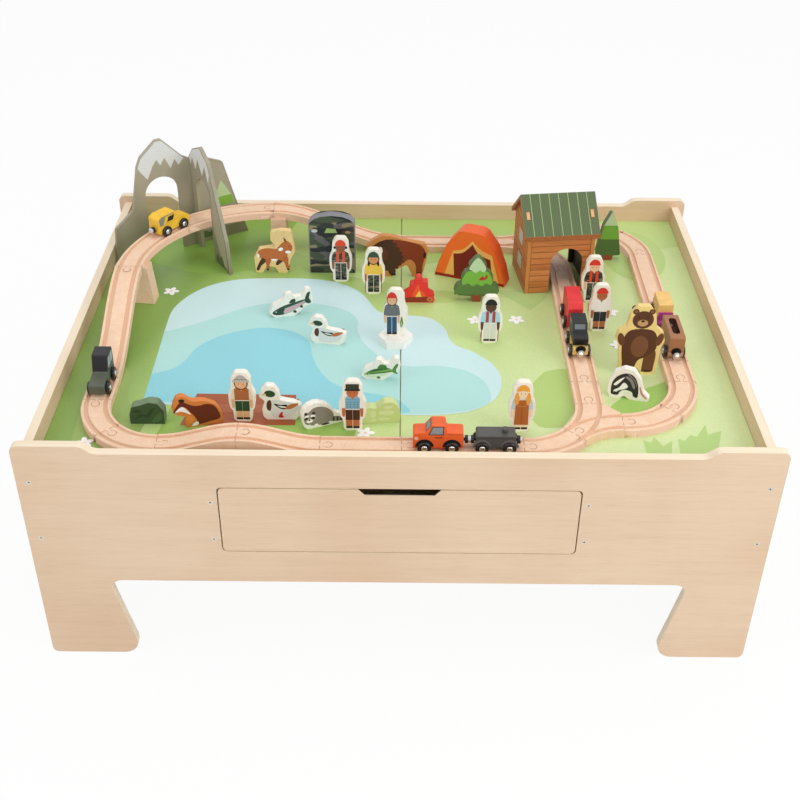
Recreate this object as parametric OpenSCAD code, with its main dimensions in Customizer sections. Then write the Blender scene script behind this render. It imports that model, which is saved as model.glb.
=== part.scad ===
// A low wooden train table: four panels with legs, one drawer, a play board in two halves,
// a wooden railway with eight vehicles, and the standing wooden scenery of its play set.
// Millimetres. X runs along the front, Y to the back, Z up; the origin is on the floor under the middle.

/* [Table] */
// Height at the raised corners
table_h = 375; // [365:1:500]
// Thickness of the front and back panels
panel_t = 13; // [11:0.5:16]
// Thickness of a side panel
side_t = 12.4; // [10:0.2:14]
// Distance of a side panel from the panel ends
side_inset = 11; // [6:0.5:12]
// Dip of the rim between the raised corners
rim_dip = 11.6; // [6:0.2:16]
// Length of a raised corner
ear_l = 106; // [60:1:140]
// Length of the slope from a raised corner to the dipped rim
ear_slope_l = 15; // [10:0.5:30]
// Rounding at both ends of that slope
ear_slope_r = 18; // [5:0.5:18]
// Rounding of the outer top corners
ear_r = 10; // [3:0.5:20]

/* [Legs] */
// Height of the panels between the drawer opening and the gap of the legs
apron_h = 55; // [40:1:90]
// Rounding of the gap's upper corners
leg_gap_r = 15; // [5:1:40]
// Width of a leg at the top of the gap
leg_w = 98; // [70:1:140]
// Extra width of a foot at the floor
leg_flare = 32; // [10:1:60]
// Rounding of a foot's inner corner
toe_r = 21; // [5:1:30]
// Rounding of a foot's outer corner
heel_r = 9; // [2:1:20]
// Width of a side panel's leg at the top of the gap
side_leg_w = 80; // [50:1:140]

/* [Play board] */
// Thickness of the two play boards
board_t = 5; // [4:0.5:7]
// Depth of the play surface below the dipped rim
board_drop = 28; // [24:0.5:32]
// Seam between the two boards
board_seam = 1.6; // [0.6:0.1:3]
// Width and height of the ledge strips under the boards
ledge_w = 15; // [10:1:20]
// Width of the beam under the seam
beam_w = 60; // [30:1:90]
// Height of that beam
beam_h = 10; // [7:0.5:11]
// Height of the cleats under the beam ends
cleat_h = 7; // [5:0.5:8]

/* [Drawer] */
// Length of the drawer opening
drawer_l = 480; // [360:5:600]
// Height of the drawer opening
drawer_h = 112.5; // [80:0.5:114]
// Distance of the opening below the dipped rim
drawer_drop = 52.9; // [52:0.1:70]
// Length of the drawer from its front's inner face to its back
drawer_depth = 450; // [300:5:640]
// Gap around the drawer front
drawer_gap = 1.8; // [1:0.1:3]
// Rounding of the opening and of the drawer front
drawer_r = 7; // [2:0.5:15]
// Thickness of the drawer's sides and back
drawer_wall_t = 10; // [8:0.5:14]
// Height of the drawer's sides and back
drawer_wall_h = 88; // [60:1:95]
// Thickness of the drawer bottom
drawer_floor_t = 4; // [3:0.5:6]
// Length of the finger notch at the top edge
notch_l = 109; // [70:1:160]
// Depth of the finger notch
notch_d = 9.7; // [6:0.1:20]
// Thickness of the drawer guides
guide_t = 12; // [9:0.5:16]
// Width of the runners under the drawer sides
runner_w = 19; // [15:0.5:25]
// Height of the runners
runner_h = 12; // [8:0.5:14]

/* [Fasteners] */
// Radius of a screw shank
screw_r = 2; // [1.5:0.1:2.5]
// Radius of a screw head
screw_head_r = 3.5; // [2.8:0.1:4.5]
// Length of a panel screw
screw_l = 40; // [30:1:60]
// Radius of a dowel
dowel_r = 3; // [2:0.1:3.5]
// Length of a dowel
dowel_l = 28; // [20:1:40]

/* [Railway] */
// Space between the railway and the left side panel
margin_left = 36.6; // [30:0.1:80]
// Space between the railway and the right side panel
margin_right = 56.007; // [30:0.001:100]
// Space between the railway and the front panel
margin_front = 13; // [8:0.1:60]
// Space between the railway and the back panel
margin_back = 27.593; // [8:0.001:60]
// Width of the track
track_w = 40; // [38:0.5:42]
// Thickness of the track
track_t = 12; // [10:0.5:14]
// Distance between the two wheel grooves
gauge = 26; // [25.8:0.1:26.4]
// Width of a wheel groove
groove_w = 6.4; // [6.2:0.1:7]
// Depth of a wheel groove
groove_d = 3; // [2.5:0.1:4]
// Chamfer along the top edges of the track
track_edge = 1.2; // [0.5:0.1:2]
// Centreline radius of the ground curves
curve_r = 98; // [94:0.5:99]
// Length of a middle straight; short ones are half and long ones twice as long
straight_l = 108; // [104:0.5:109]
// Height of the elevated part above the play board
ramp_rise = 60; // [40:1:64]
// Rise of the arch bridge
bridge_rise = 20; // [10:1:24]
// Radius of a joint peg's head
peg_r = 5.5; // [4:0.1:6]
// Distance of the peg's head from the track end
peg_reach = 11; // [9:0.1:13]

/* [Vehicles] */
// Width of a vehicle body between its wheels
car_w = 22; // [20:0.1:22]
// Length of the car bodies and of the hopper, flat wagon and carriage
car_l = 66; // [56:1:68]
// Length of the tender wagon
tender_l = 52; // [44:1:60]
// Length of the locomotive
loco_l = 60; // [50:1:66]
// Distance between the axles
wheelbase = 36; // [30:0.5:38]
// Radius of a wheel
wheel_r = 9; // [8:0.1:10]
// Width of a wheel
wheel_t = 4; // [3:0.1:4.2]
// Radius of an axle
axle_r = 1.5; // [1:0.1:2.5]
// Length of a coupler with its magnet
coupler_l = 8; // [6:0.1:8.5]
// Radius of a coupler cap
coupler_r = 5.4; // [4:0.1:6]

/* [Scenery] */
// Thickness of the mountain boards, cabin walls and roof boards
ply_t = 6; // [4:0.5:8]
// Thickness of the standing people and animals
figure_t = 10; // [6:0.5:14]
// Width of a standing person
person_w = 36; // [30:0.5:37]
// Height of a standing person
person_h = 80; // [60:1:95]
// Height of the mountain's main peak above the play board
peak_h = 200; // [185:1:240]
// Width of the cabin
cabin_w = 108; // [100:1:124]
// Depth of the cabin
cabin_d = 100; // [80:1:104]
// Height of the cabin's eaves
cabin_eave_h = 100; // [94:1:120]
// Height of the cabin's ridge
cabin_ridge_h = 143; // [130:1:170]
// Width of the tent
tent_w = 120; // [90:1:126]
// Height of the tent
tent_h = 92; // [60:1:110]

/* [Hidden] */

$fn = 48;

// Overrun of every cut past the face that it opens
over = 1;
// Steps in the arc of a rounded corner
corner_steps = 6;
// Share of the shorter edge that a rounded corner may take up
corner_share = 0.48;

// Fits: play around boards and grooves, screws and dowels, pegs, slotted boards, axles and running
// faces, the hairline between two pieces that butt, and the gap between two track ends
board_gap = 0.4;
floor_fit = 0.15;
screw_fit = 0.05;
dowel_fit = 0.05;
peg_fit = 0.4;
slot_fit = 0.3;
axle_fit = 0.06;
run_gap = 0.3;
wheel_gap = 0.4;
magnet_gap = 0.5;
joint_gap = 0.05;
track_joint = 0.3;

// Railway lengths: the two loops close because every run is a multiple of the same straight
short_l = straight_l / 2;
long_l = straight_l * 2;
high_curve_r = curve_r + straight_l;
turn = 45;
over_turn = 1;
turn_out = curve_r * sin(turn);
turn_side = curve_r * (1 - cos(turn));
front_run = 2 * straight_l + straight_l + short_l + straight_l;
side_run = short_l + straight_l + long_l;
lay_w = 2 * curve_r + front_run + 2 * turn_out;
lay_d = 2 * curve_r + side_run + 2 * turn_side;

// Places derived from the table, which is as long and deep as the railway and its margins
inner_x = (margin_left + lay_w + track_w + margin_right) / 2;
inner_y = (margin_front + lay_d + track_w + margin_back) / 2;
side_mid_x = inner_x + side_t / 2;
half_l = inner_x + side_t + side_inset;
half_d = inner_y + panel_t;
rim_z = table_h - rim_dip;
board_z = rim_z - board_drop;
board_low_z = board_z - board_t;

// Places derived from the drawer
drawer_z = rim_z - drawer_drop - drawer_h;
leg_gap_h = drawer_z - apron_h;
drawer_play = 3.5;
guide_x = drawer_l / 2 + drawer_play;
guide_drop = 15;
guide_z = drawer_z - guide_drop;
drawer_front_l = drawer_l - 2 * drawer_gap;
drawer_low_z = drawer_z + drawer_gap;
drawer_side_step = 2.2;
drawer_side_x = drawer_front_l / 2 - drawer_side_step;
drawer_back_y = -inner_y + drawer_depth;
drawer_lift = 10;
drawer_groove_d = 5;
notch_slope = 8.5;
notch_land = 2;
notch_fall = 11;

// Heights of the screws and dowels, and the depth of the dowels in the panels
side_screw_drops = [59, 155];
guide_screw_rise_shares = [0.2, 0.77];
screw_head_rim = 0.4;
screw_head_h = 1.9;
screw_tip_l = 4;
screw_slot_w = 0.9;
screw_slot_d = 0.9;
side_dowel_drops = [35, 195];
dowel_in_panel = 8;
drawer_screw_l = 32;
drawer_screw_shares = [0.3, 0.75];
drawer_dowel_l = 24;
drawer_dowel_shares = [0.3, 0.75];

// Places of the railway's lines, and of its middle
left_x = -inner_x + margin_left + track_w / 2;
front_y = -inner_y + margin_front + track_w / 2;
lay_dx = left_x + lay_w / 2;
lay_dy = front_y + lay_d / 2;
front_x = left_x + curve_r;
split_x = front_x + front_run;
cabin_line_x = split_x + curve_r;
right_x = left_x + lay_w;
cabin_line_y = front_y + curve_r;
right_y = front_y + 2 * turn_side + curve_r;
back_y = cabin_line_y + side_run + curve_r;
ramp_x = split_x - short_l - straight_l;
high_centre = [left_x + high_curve_r, back_y - high_curve_r];
track_top = board_z + track_t;
track_steps = 16;

// Riser blocks: size along and across the track, taper of the sides, depth of the seat, shift of the
// back block from the end of its curve and turn of the left block round that curve
riser_l = 25;
riser_w = 64;
riser_taper = 6;
riser_seat = 3;
riser_shift = 8;
riser_turn = 6.5;
left_riser_at = [
    high_centre.x - high_curve_r * cos(riser_turn), high_centre.y + high_curve_r * sin(riser_turn),
    90 - riser_turn, 0
];

// Length of each half of the bridge, and the arch under it: radius, depth of its centre and its
// distance from the crest
bridge_l = straight_l - track_joint;
arch_r = 34;
arch_sink = 22;
arch_back = 30;

// Vehicles: height of the floor above the track, and the height of each body above that floor
car_floor = 4;
pickup_h = 36;
tender_h = 20;
loco_base_h = 13;
loco_cab_h = 25;
carriage_h = 40;
hopper_base_h = 9;
hopper_h = 25;
flat_h = 8;
crate_l = 42;
crate_h = 24;
green_car_h = 40;
yellow_car_h = 30;
car_edge_r = 3;
knob_r = 4;
knob_h = 6;
trough_l = 44;
trough_w = 11;
trough_d = 12;
stake_t = 3;
stake_h = 12;
wheel_edge = 0.7;
coupler_z = 11.3;
stub_r = 2.2;
stub_l = 2.2;
magnet_r = 4.4;
magnet_t = 1.4;
axle_z = wheel_r - groove_d + run_gap;
wheel_in = car_w / 2 + wheel_gap;
curve_shift = 0.7;

// Side outlines of the vehicle bodies, in shares of their length and height, front to the right
pickup_shares = [
    [-0.5, 0], [0.5, 0], [0.5, 0.66], [0.26, 0.68], [0.13, 1], [-0.14, 1], [-0.17, 0.68], [-0.5, 0.66]
];
block_shares = [[-0.5, 0], [0.5, 0], [0.5, 1], [-0.5, 1]];
loco_cab_shares = [[-0.5, 0], [0.4, 0], [0.4, 0.52], [0.1, 0.6], [0.02, 1], [-0.5, 1]];
carriage_shares = [[-0.5, 0], [0.5, 0], [0.5, 0.82], [0.36, 1], [-0.36, 1], [-0.5, 0.82]];
green_car_shares = [[-0.5, 0], [0.5, 0], [0.5, 0.36], [0.04, 0.42], [-0.08, 1], [-0.45, 1], [-0.5, 0.92]];
yellow_car_shares = [[-0.5, 0], [0.5, 0], [0.5, 0.46], [0.2, 0.54], [0.06, 1], [-0.38, 1], [-0.5, 0.86]];

// Where the vehicles stand, as shares of the runs that they stand on
front_train_share = 0.765;
cabin_train_share = 0.386;
right_train_share = 0.234;
green_car_share = 0.352;
yellow_car_angle = 142;
tender_knob_share = -0.23;
pickup_at = [front_x + front_train_share * front_run, front_y, 180, 0];
tender_at = pickup_at + [(car_l + tender_l) / 2 + 2 * coupler_l + magnet_gap, 0, 0, 0];
loco_at = [cabin_line_x, cabin_line_y + cabin_train_share * side_run, -90, 0];
carriage_at = loco_at + [0, (loco_l + car_l) / 2 + 2 * coupler_l + magnet_gap, 0, 0];
hopper_at = [right_x, right_y + right_train_share * side_run, -90, 0];
flat_wagon_at = hopper_at + [0, car_l + 2 * coupler_l + magnet_gap, 0, 0];
green_car_at = [left_x, cabin_line_y + green_car_share * straight_l, -90, 0];
yellow_car_path_r = high_curve_r - curve_shift;
yellow_car_at = [
    high_centre.x + yellow_car_path_r * cos(yellow_car_angle),
    high_centre.y + yellow_car_path_r * sin(yellow_car_angle),
    yellow_car_angle - 90,
    ramp_rise
];

// Mountain: a board across the track with a tunnel, and a wide board with an arch behind the track.
// The first is measured out from the elevated curve's centre, the second from their crossing.
mountain_angle = 122;
tunnel_room = 6;
tunnel_w = track_w + 2 * tunnel_room;
tunnel_h = 136;
tunnel_r = high_curve_r;
crossing_r = tunnel_r + 48;
slot_h = 75;
ridge_in = 84;
ridge_out = 66;
ridge_h = 193;
ridge_shares = [
    [-1, 0], [-0.9, 0.29], [-0.64, 0.58], [-0.33, 0.91], [0, 1], [0.45, 0.93], [0.85, 0.78], [1, 0.52],
    [1, 0]
];
massif_l = 240;
massif_gap = 3.4;
massif_room = inner_x + high_centre.x + crossing_r * cos(mountain_angle) - massif_gap;
massif_cross = massif_room / sin(mountain_angle);
massif_shares = [
    [0, 0], [0.02, 0.31], [0.16, 0.44], [0.22, 0.8], [0.25, 0.88], [0.37, 1], [0.41, 1], [0.55, 0.82],
    [0.62, 0.77], [0.73, 0.75], [0.84, 0.69], [0.94, 0.24], [1, 0]
];
massif_arch_w = 58;
massif_arch_at = 91;
massif_arch_h = 136;
board_edge_r = 6;

// Cabin: place along its track and beside it, turn, arches, roof overhangs and the tabs that key the roof
cabin_share = 0.997;
cabin_aside = 17;
cabin_turn = 7;
cabin_at = [cabin_line_x - cabin_aside, cabin_line_y + cabin_share * side_run];
cabin_arch_w = 52;
cabin_arch_h = 78;
cabin_arch_shift = 11;
cabin_back_arch_w = 62;
cabin_back_arch_shift = 9;
roof_side = 6;
roof_front = 5;
roof_slope = atan((cabin_ridge_h - cabin_eave_h) / (cabin_d / 2));
roof_rise = ply_t / cos(roof_slope);
roof_l = cabin_w + 2 * roof_side;
tab_shares = [0.42, 0.62];

// Tent and blind: size, turn and thickness
tent_t = 30;
tent_turn = -20;
tent_shares = [
    [-0.5, 0], [0.5, 0], [0.44, 0.3], [0.33, 0.66], [0.16, 0.95], [-0.16, 0.95], [-0.33, 0.66],
    [-0.44, 0.3]
];
tent_r = 16;
blind_w = 75;
blind_h = 105;
blind_t = 20;
blind_top_share = 0.9;
blind_r = 14;

// Trees and small blocks: size, thickness and outline
tree_size = [74, 82];
tree_shares = [
    [-0.1, 0], [0.1, 0], [0.1, 0.13], [0.38, 0.14], [0.5, 0.24], [0.42, 0.36], [0.3, 0.4], [0.35, 0.5],
    [0.27, 0.64], [0.16, 0.68], [0.2, 0.78], [0, 1], [-0.2, 0.78], [-0.16, 0.68], [-0.27, 0.64],
    [-0.35, 0.5], [-0.3, 0.4], [-0.42, 0.36], [-0.5, 0.24], [-0.38, 0.14], [-0.1, 0.13]
];
pine_size = [42, 90];
pine_shares = [
    [-0.2, 0], [0.2, 0], [0.2, 0.1], [0.5, 0.11], [0.3, 0.68], [0, 1], [-0.3, 0.68], [-0.5, 0.11],
    [-0.2, 0.1]
];
tree_t = 14;
fire_size = [50, 46];
fire_shares = [
    [-0.5, 0], [0.5, 0], [0.5, 0.3], [0.32, 0.42], [0.3, 0.82], [0.15, 0.78], [0.06, 1], [-0.08, 0.96],
    [-0.12, 0.74], [-0.26, 0.72], [-0.28, 0.46], [-0.5, 0.3]
];
rock_size = [48, 36];
rock_shares = [[-0.5, 0], [0.5, 0], [0.5, 0.62], [0.34, 0.96], [0.08, 1], [-0.18, 0.86], [-0.42, 0.78], [-0.5, 0.4]];
bush_size = [52, 34];
bush_turn = 7;
bush_shares = [
    [-0.5, 0], [0.5, 0], [0.5, 0.52], [0.42, 0.82], [0.26, 1], [0.08, 0.97], [-0.06, 0.82],
    [-0.14, 0.73], [-0.3, 0.77], [-0.44, 0.73], [-0.5, 0.5]
];
prop_t = 14;
floe_r = 26;
floe_h = 12;
soft_r = 6;

// Where the scenery stands, in shares of half the railway's length and depth from its middle
tent_place_share = [0.306, 0.498];
blind_place_share = [-0.252, 0.555];
tree_place_share = [0.314, 0.263];
pine_place_share = [0.867, 0.71];
fire_place_share = [0.089, 0.251];
rock_place_share = [-0.814, -0.794];
bush_place_share = [-0.041, -0.772];
floe_place_share = [0.004, -0.135];
people_place_shares = [
    [-0.215, 0.448], [-0.084, 0.327], [0.348, -0.126],
    [0.421, -0.829], [-0.132, -0.832], [-0.498, -0.775]
];

// Two people stand beside the cabin's track: their gap to it and their distance before the cabin
beside_gap = 2;
beside_drops = [25, 112];
beside_x = cabin_line_x + track_w / 2 + beside_gap + person_w / 2;
people_places = concat(
    [for (share = people_place_shares) place(share)],
    [for (d = beside_drops) [beside_x, cabin_at.y - cabin_d / 2 - d]]
);

// Outline of a person and of the animals, in shares of their width and height
person_shares = [
    [-0.34, 0], [0.34, 0], [0.36, 0.22], [0.46, 0.29], [0.5, 0.4], [0.5, 0.56], [0.4, 0.67],
    [0.37, 0.75], [0.36, 0.88], [0.22, 1], [-0.22, 1], [-0.36, 0.88], [-0.37, 0.75], [-0.4, 0.67],
    [-0.5, 0.56], [-0.5, 0.4], [-0.46, 0.29], [-0.36, 0.22]
];
deer_shares = [
    [-0.48, 0], [-0.3, 0], [-0.22, 0.16], [0, 0.14], [0.08, 0], [0.3, 0], [0.38, 0.32], [0.5, 0.5],
    [0.46, 0.78], [0.42, 0.98], [0.16, 1], [-0.08, 0.95], [-0.08, 0.76], [0.06, 0.62], [-0.38, 0.56],
    [-0.5, 0.36]
];
bison_shares = [
    [-0.3, 0.06], [-0.22, 0], [-0.08, 0], [-0.02, 0.18], [0.16, 0.3], [0.26, 0], [0.4, 0], [0.47, 0.4],
    [0.5, 0.64], [0.44, 0.8], [0.18, 0.87], [-0.08, 0.98], [-0.24, 1], [-0.38, 0.9], [-0.5, 0.74],
    [-0.47, 0.44], [-0.4, 0.18]
];
bear_shares = [
    [-0.36, 0], [-0.06, 0], [0.02, 0.14], [0.1, 0], [0.38, 0], [0.42, 0.16], [0.44, 0.4], [0.5, 0.5],
    [0.46, 0.62], [0.3, 0.7], [0.26, 0.88], [0.12, 1], [-0.12, 1], [-0.26, 0.88], [-0.3, 0.72],
    [-0.46, 0.64], [-0.5, 0.52], [-0.42, 0.42], [-0.38, 0.18]
];
badger_shares = [
    [-0.44, 0], [-0.2, 0], [-0.1, 0.1], [0.04, 0], [0.48, 0], [0.5, 0.12], [0.34, 0.3], [0.24, 0.7],
    [0.06, 0.97], [-0.16, 1], [-0.38, 0.84], [-0.5, 0.48], [-0.5, 0.16]
];
beaver_shares = [
    [-0.22, 0], [0.47, 0], [0.5, 0.12], [0.5, 0.29], [0.45, 0.46], [0.38, 0.6], [0.2, 0.74], [0.05, 0.79],
    [-0.05, 0.79], [-0.14, 0.85], [-0.2, 0.94], [-0.3, 1], [-0.39, 0.96], [-0.46, 0.8], [-0.5, 0.61],
    [-0.47, 0.51], [-0.39, 0.43], [-0.24, 0.37], [-0.26, 0.25], [-0.26, 0.08]
];
raccoon_shares = [
    [-0.38, 0], [0.48, 0], [0.5, 0.13], [0.48, 0.29], [0.35, 0.37], [0.26, 0.47], [0.21, 0.63], [0.11, 0.81],
    [-0.07, 0.97], [-0.2, 1], [-0.35, 0.93], [-0.45, 0.79], [-0.5, 0.62], [-0.49, 0.4], [-0.46, 0.13]
];
duck_shares = [
    [-0.34, 0], [0.34, 0], [0.48, 0.16], [0.5, 0.42], [0.3, 0.52], [0, 0.56], [-0.03, 0.8],
    [-0.14, 0.98], [-0.32, 1], [-0.44, 0.86], [-0.5, 0.68], [-0.36, 0.54], [-0.44, 0.3], [-0.42, 0.1]
];
fish_shares = [
    [-0.38, 0], [0.06, 0], [0.2, 0.16], [0.32, 0.34], [0.46, 0.4], [0.5, 0.56], [0.46, 0.96], [0.34, 1],
    [0.24, 0.74], [0.08, 0.72], [0, 0.88], [-0.12, 0.86], [-0.2, 0.62], [-0.42, 0.46], [-0.5, 0.16]
];

// Sizes of the animals
deer_size = [67, 78];
bison_size = [100, 75];
bear_size = [70, 114];
badger_size = [59, 50];
beaver_size = [66, 52];
raccoon_size = [61, 41];
duck_size = [57, 56];
swimming_duck_size = [57, 46];
trout_size = [68, 46];
perch_size = [56, 40];

// Animals: outline, size, place in shares as above, and turn
animals = [
    [deer_shares, deer_size, [-0.481, 0.536], 0],
    [bison_shares, bison_size, [0.007, 0.505], 0],
    [bear_shares, bear_size, [0.855, -0.382], 0],
    [badger_shares, badger_size, [0.808, -0.582], -15],
    [beaver_shares, beaver_size, [-0.647, -0.812], 16],
    [raccoon_shares, raccoon_size, [-0.234, -0.803], 22],
    [duck_shares, duck_size, [-0.374, -0.759], 0],
    [duck_shares, swimming_duck_size, [-0.244, -0.148], -8],
    [fish_shares, trout_size, [-0.393, 0.105], 12],
    [fish_shares, perch_size, [-0.045, -0.449], -6]
];

// Points of a corner b between a and c, rounded by r as far as its two edges allow
function rounded_corner(a, b, c, r) =
    let (
        u = (a - b) / norm(a - b),
        w = (c - b) / norm(c - b),
        half = acos(max(-1, min(1, u * w))) / 2,
        reach = min(r / tan(half), corner_share * min(norm(a - b), norm(c - b))),
        arc_r = reach * tan(half),
        middle = b + (u + w) / norm(u + w) * arc_r / sin(half),
        start = b + u * reach - middle,
        end = b + w * reach - middle,
        from = atan2(start.y, start.x),
        sweep = (atan2(end.y, end.x) - from + 540) % 360 - 180
    )
    [for (i = [0:corner_steps]) middle + arc_r * [
        cos(from + sweep * i / corner_steps),
        sin(from + sweep * i / corner_steps)
    ]];

// An outline of [x, y, radius] corners as points
function soft(corners) =
    let (n = len(corners))
    [for (i = [0:n - 1])
        let (
            a = corners[(i + n - 1) % n],
            b = corners[i],
            c = corners[(i + 1) % n]
        )
        each b.z > 0 ? rounded_corner([a.x, a.y], [b.x, b.y], [c.x, c.y], b.z) : [[b.x, b.y]]];

// An outline given in shares of a size, with one radius at every corner
function outline(shares, size, r) = soft([for (s = shares) [s.x * size.x, s.y * size.y, r]]);

// A place on the play board given in shares of half the railway
function place(share) = [lay_dx + share.x * lay_w / 2, lay_dy + share.y * lay_d / 2];

// Smooth rise from 0 to h over the length l
function rise(x, l, h) = h * (1 - cos(180 * x / l)) / 2;

// An upright plate in the XZ plane, t thick, from its front face at y = 0 to the back
module upright(t) {
    translate([0, t, 0]) rotate([90, 0, 0]) linear_extrude(t) children();
}

// The same plate set in the middle of its thickness
module upright_middle(t) {
    translate([0, -t / 2, 0]) upright(t) children();
}

// An upright plate in the YZ plane, t thick, towards +X
module sideways(t) {
    rotate([90, 0, 90]) linear_extrude(t) children();
}

// Countersunk screw with a cross slot, its head's face at z = 0 and its tip towards +Z
module screw(l) {
    difference() {
        rotate_extrude() polygon([
            [0, 0], [screw_head_r, 0], [screw_head_r, screw_head_rim], [screw_r, screw_head_h],
            [screw_r, l - screw_tip_l], [0, l]
        ]);
        for (a = [0, 90])
            rotate(a) translate([-screw_head_r / 2, -screw_slot_w / 2, -over])
                cube([screw_head_r, screw_slot_w, over + screw_slot_d]);
    }
}

module screw_hole(l) {
    rotate_extrude() polygon([
        [0, -over], [screw_head_r + screw_fit, -over],
        [screw_head_r + screw_fit, screw_head_rim + screw_fit],
        [screw_r + screw_fit, screw_head_h + screw_fit], [screw_r + screw_fit, l + screw_fit],
        [0, l + screw_fit]
    ]);
}

// Heights of the screws in the side panels and in the drawer guides
function side_screw_z() = [for (d = side_screw_drops) table_h - d];
function guide_screw_z() = [for (s = guide_screw_rise_shares) drawer_z + s * drawer_h];

// Every screw place of one panel, front or back, with the screw pointing into the table
module at_panel_screws(face) {
    for (s = [-1, 1]) {
        for (z = side_screw_z())
            translate([s * side_mid_x, face * half_d, z]) rotate([face * 90, 0, 0]) children();
        for (z = guide_screw_z())
            translate([s * (guide_x + guide_t / 2), face * half_d, z])
                rotate([face * 90, 0, 0]) children();
    }
}

// Every dowel place of one panel, from the dowel's end inside the panel
module at_panel_dowels(face) {
    for (s = [-1, 1])
        for (d = side_dowel_drops)
            translate([s * side_mid_x, face * (inner_y + dowel_in_panel), table_h - d])
                rotate([face * 90, 0, 0]) children();
}

module dowel(l) {
    cylinder(r = dowel_r, h = l);
}

module dowel_hole(l) {
    translate([0, 0, -dowel_fit]) cylinder(r = dowel_r + dowel_fit, h = l + 2 * dowel_fit);
}

// Outline of the front and back panels: two legs, raised corners and the dipped rim between them
module panel_outline() {
    polygon(soft([
        [-half_l, 0, heel_r],
        [-half_l + leg_w + leg_flare, 0, toe_r],
        [-half_l + leg_w, leg_gap_h, leg_gap_r],
        [half_l - leg_w, leg_gap_h, leg_gap_r],
        [half_l - leg_w - leg_flare, 0, toe_r],
        [half_l, 0, heel_r],
        [half_l, table_h, ear_r],
        [half_l - ear_l + ear_slope_l, table_h, ear_slope_r],
        [half_l - ear_l, rim_z, ear_slope_r],
        [-half_l + ear_l, rim_z, ear_slope_r],
        [-half_l + ear_l - ear_slope_l, table_h, ear_slope_r],
        [-half_l, table_h, ear_r]
    ]));
}

// Outline of the drawer opening, or of the drawer front when drawn in by the gap
module drawer_outline(inset) {
    l = drawer_l / 2 - inset;
    low = drawer_z + inset;
    high = drawer_z + drawer_h - inset;
    polygon(soft([[-l, low, drawer_r], [l, low, drawer_r], [l, high, drawer_r], [-l, high, drawer_r]]));
}

module front_panel() {
    color("burlywood") difference() {
        translate([0, -half_d, 0]) upright(panel_t) difference() {
            panel_outline();
            drawer_outline(0);
        }
        at_panel_screws(-1) screw_hole(screw_l);
        at_panel_dowels(-1) dowel_hole(dowel_l);
    }
}

module back_panel() {
    color("burlywood") difference() {
        translate([0, inner_y, 0]) upright(panel_t) panel_outline();
        at_panel_screws(1) screw_hole(screw_l);
        at_panel_dowels(1) dowel_hole(dowel_l);
    }
}

// A side panel stands between the front and back panels on legs of the same style
module side_panel(s) {
    color("burlywood") difference() {
        translate([s > 0 ? inner_x : -inner_x - side_t, 0, 0]) sideways(side_t) polygon(soft([
            [-inner_y, 0, 0],
            [-inner_y + side_leg_w + leg_flare, 0, toe_r],
            [-inner_y + side_leg_w, leg_gap_h, leg_gap_r],
            [inner_y - side_leg_w, leg_gap_h, leg_gap_r],
            [inner_y - side_leg_w - leg_flare, 0, toe_r],
            [inner_y, 0, 0],
            [inner_y, rim_z, 0],
            [-inner_y, rim_z, 0]
        ]));
        for (face = [-1, 1]) {
            at_panel_screws(face) screw_hole(screw_l);
            at_panel_dowels(face) dowel_hole(dowel_l);
        }
    }
}

module left_side_panel() {
    side_panel(-1);
}

module right_side_panel() {
    side_panel(1);
}

module play_board(s) {
    l = inner_x - board_gap - board_seam / 2;
    d = 2 * (inner_y - board_gap);
    color("yellowgreen") translate([s > 0 ? board_seam / 2 : -board_seam / 2 - l, -d / 2, board_low_z])
        cube([l, d, board_t]);
}

module play_board_left() {
    play_board(-1);
}

module play_board_right() {
    play_board(1);
}

// Strips screwed round the inside of the panels under the boards, and the two cleats of the beam
module board_ledges() {
    guide_out = guide_x + guide_t;
    color("tan") for (s = [-1, 1]) {
        translate([s > 0 ? inner_x - ledge_w : -inner_x, -inner_y, board_low_z - ledge_w])
            cube([ledge_w, 2 * inner_y, ledge_w]);
        for (face = [-1, 1])
            translate([
                s > 0 ? guide_out : -inner_x + ledge_w + joint_gap,
                face > 0 ? inner_y - ledge_w : -inner_y,
                board_low_z - ledge_w
            ]) cube([inner_x - ledge_w - guide_out - joint_gap, ledge_w, ledge_w]);
        translate([
            -beam_w / 2,
            s > 0 ? inner_y - ledge_w : -inner_y,
            board_low_z - beam_h - cleat_h
        ]) cube([beam_w, ledge_w, cleat_h]);
    }
}

module centre_beam() {
    color("tan") translate([-beam_w / 2, -inner_y, board_low_z - beam_h])
        cube([beam_w, 2 * inner_y, beam_h]);
}

module drawer_guide(s) {
    color("tan") difference() {
        translate([s > 0 ? guide_x : -guide_x - guide_t, -inner_y, guide_z])
            cube([guide_t, 2 * inner_y, board_low_z - guide_z]);
        for (face = [-1, 1])
            at_panel_screws(face) screw_hole(screw_l);
    }
}

module drawer_guide_left() {
    drawer_guide(-1);
}

module drawer_guide_right() {
    drawer_guide(1);
}

module drawer_runners() {
    color("tan") for (s = [-1, 1])
        translate([s > 0 ? guide_x - runner_w : -guide_x, -inner_y, drawer_low_z - run_gap - runner_h])
            cube([runner_w, 2 * inner_y, runner_h]);
}

// The drawer bottom with its play, used to cut the grooves that hold it
module drawer_floor(play) {
    l = 2 * (drawer_side_x - drawer_wall_t + drawer_groove_d + play) - 2 * floor_fit;
    front = -inner_y - drawer_groove_d - play + floor_fit;
    back = drawer_back_y - drawer_wall_t + drawer_groove_d + play - floor_fit;
    translate([-l / 2, front, drawer_low_z + drawer_lift - play])
        cube([l, back - front, drawer_floor_t + 2 * play]);
}

module at_drawer_dowels() {
    for (s = [-1, 1])
        for (h = drawer_dowel_shares)
            translate([
                s * (drawer_side_x - drawer_wall_t / 2),
                -inner_y - dowel_in_panel,
                drawer_low_z + h * drawer_wall_h
            ]) rotate([-90, 0, 0]) children();
}

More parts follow.
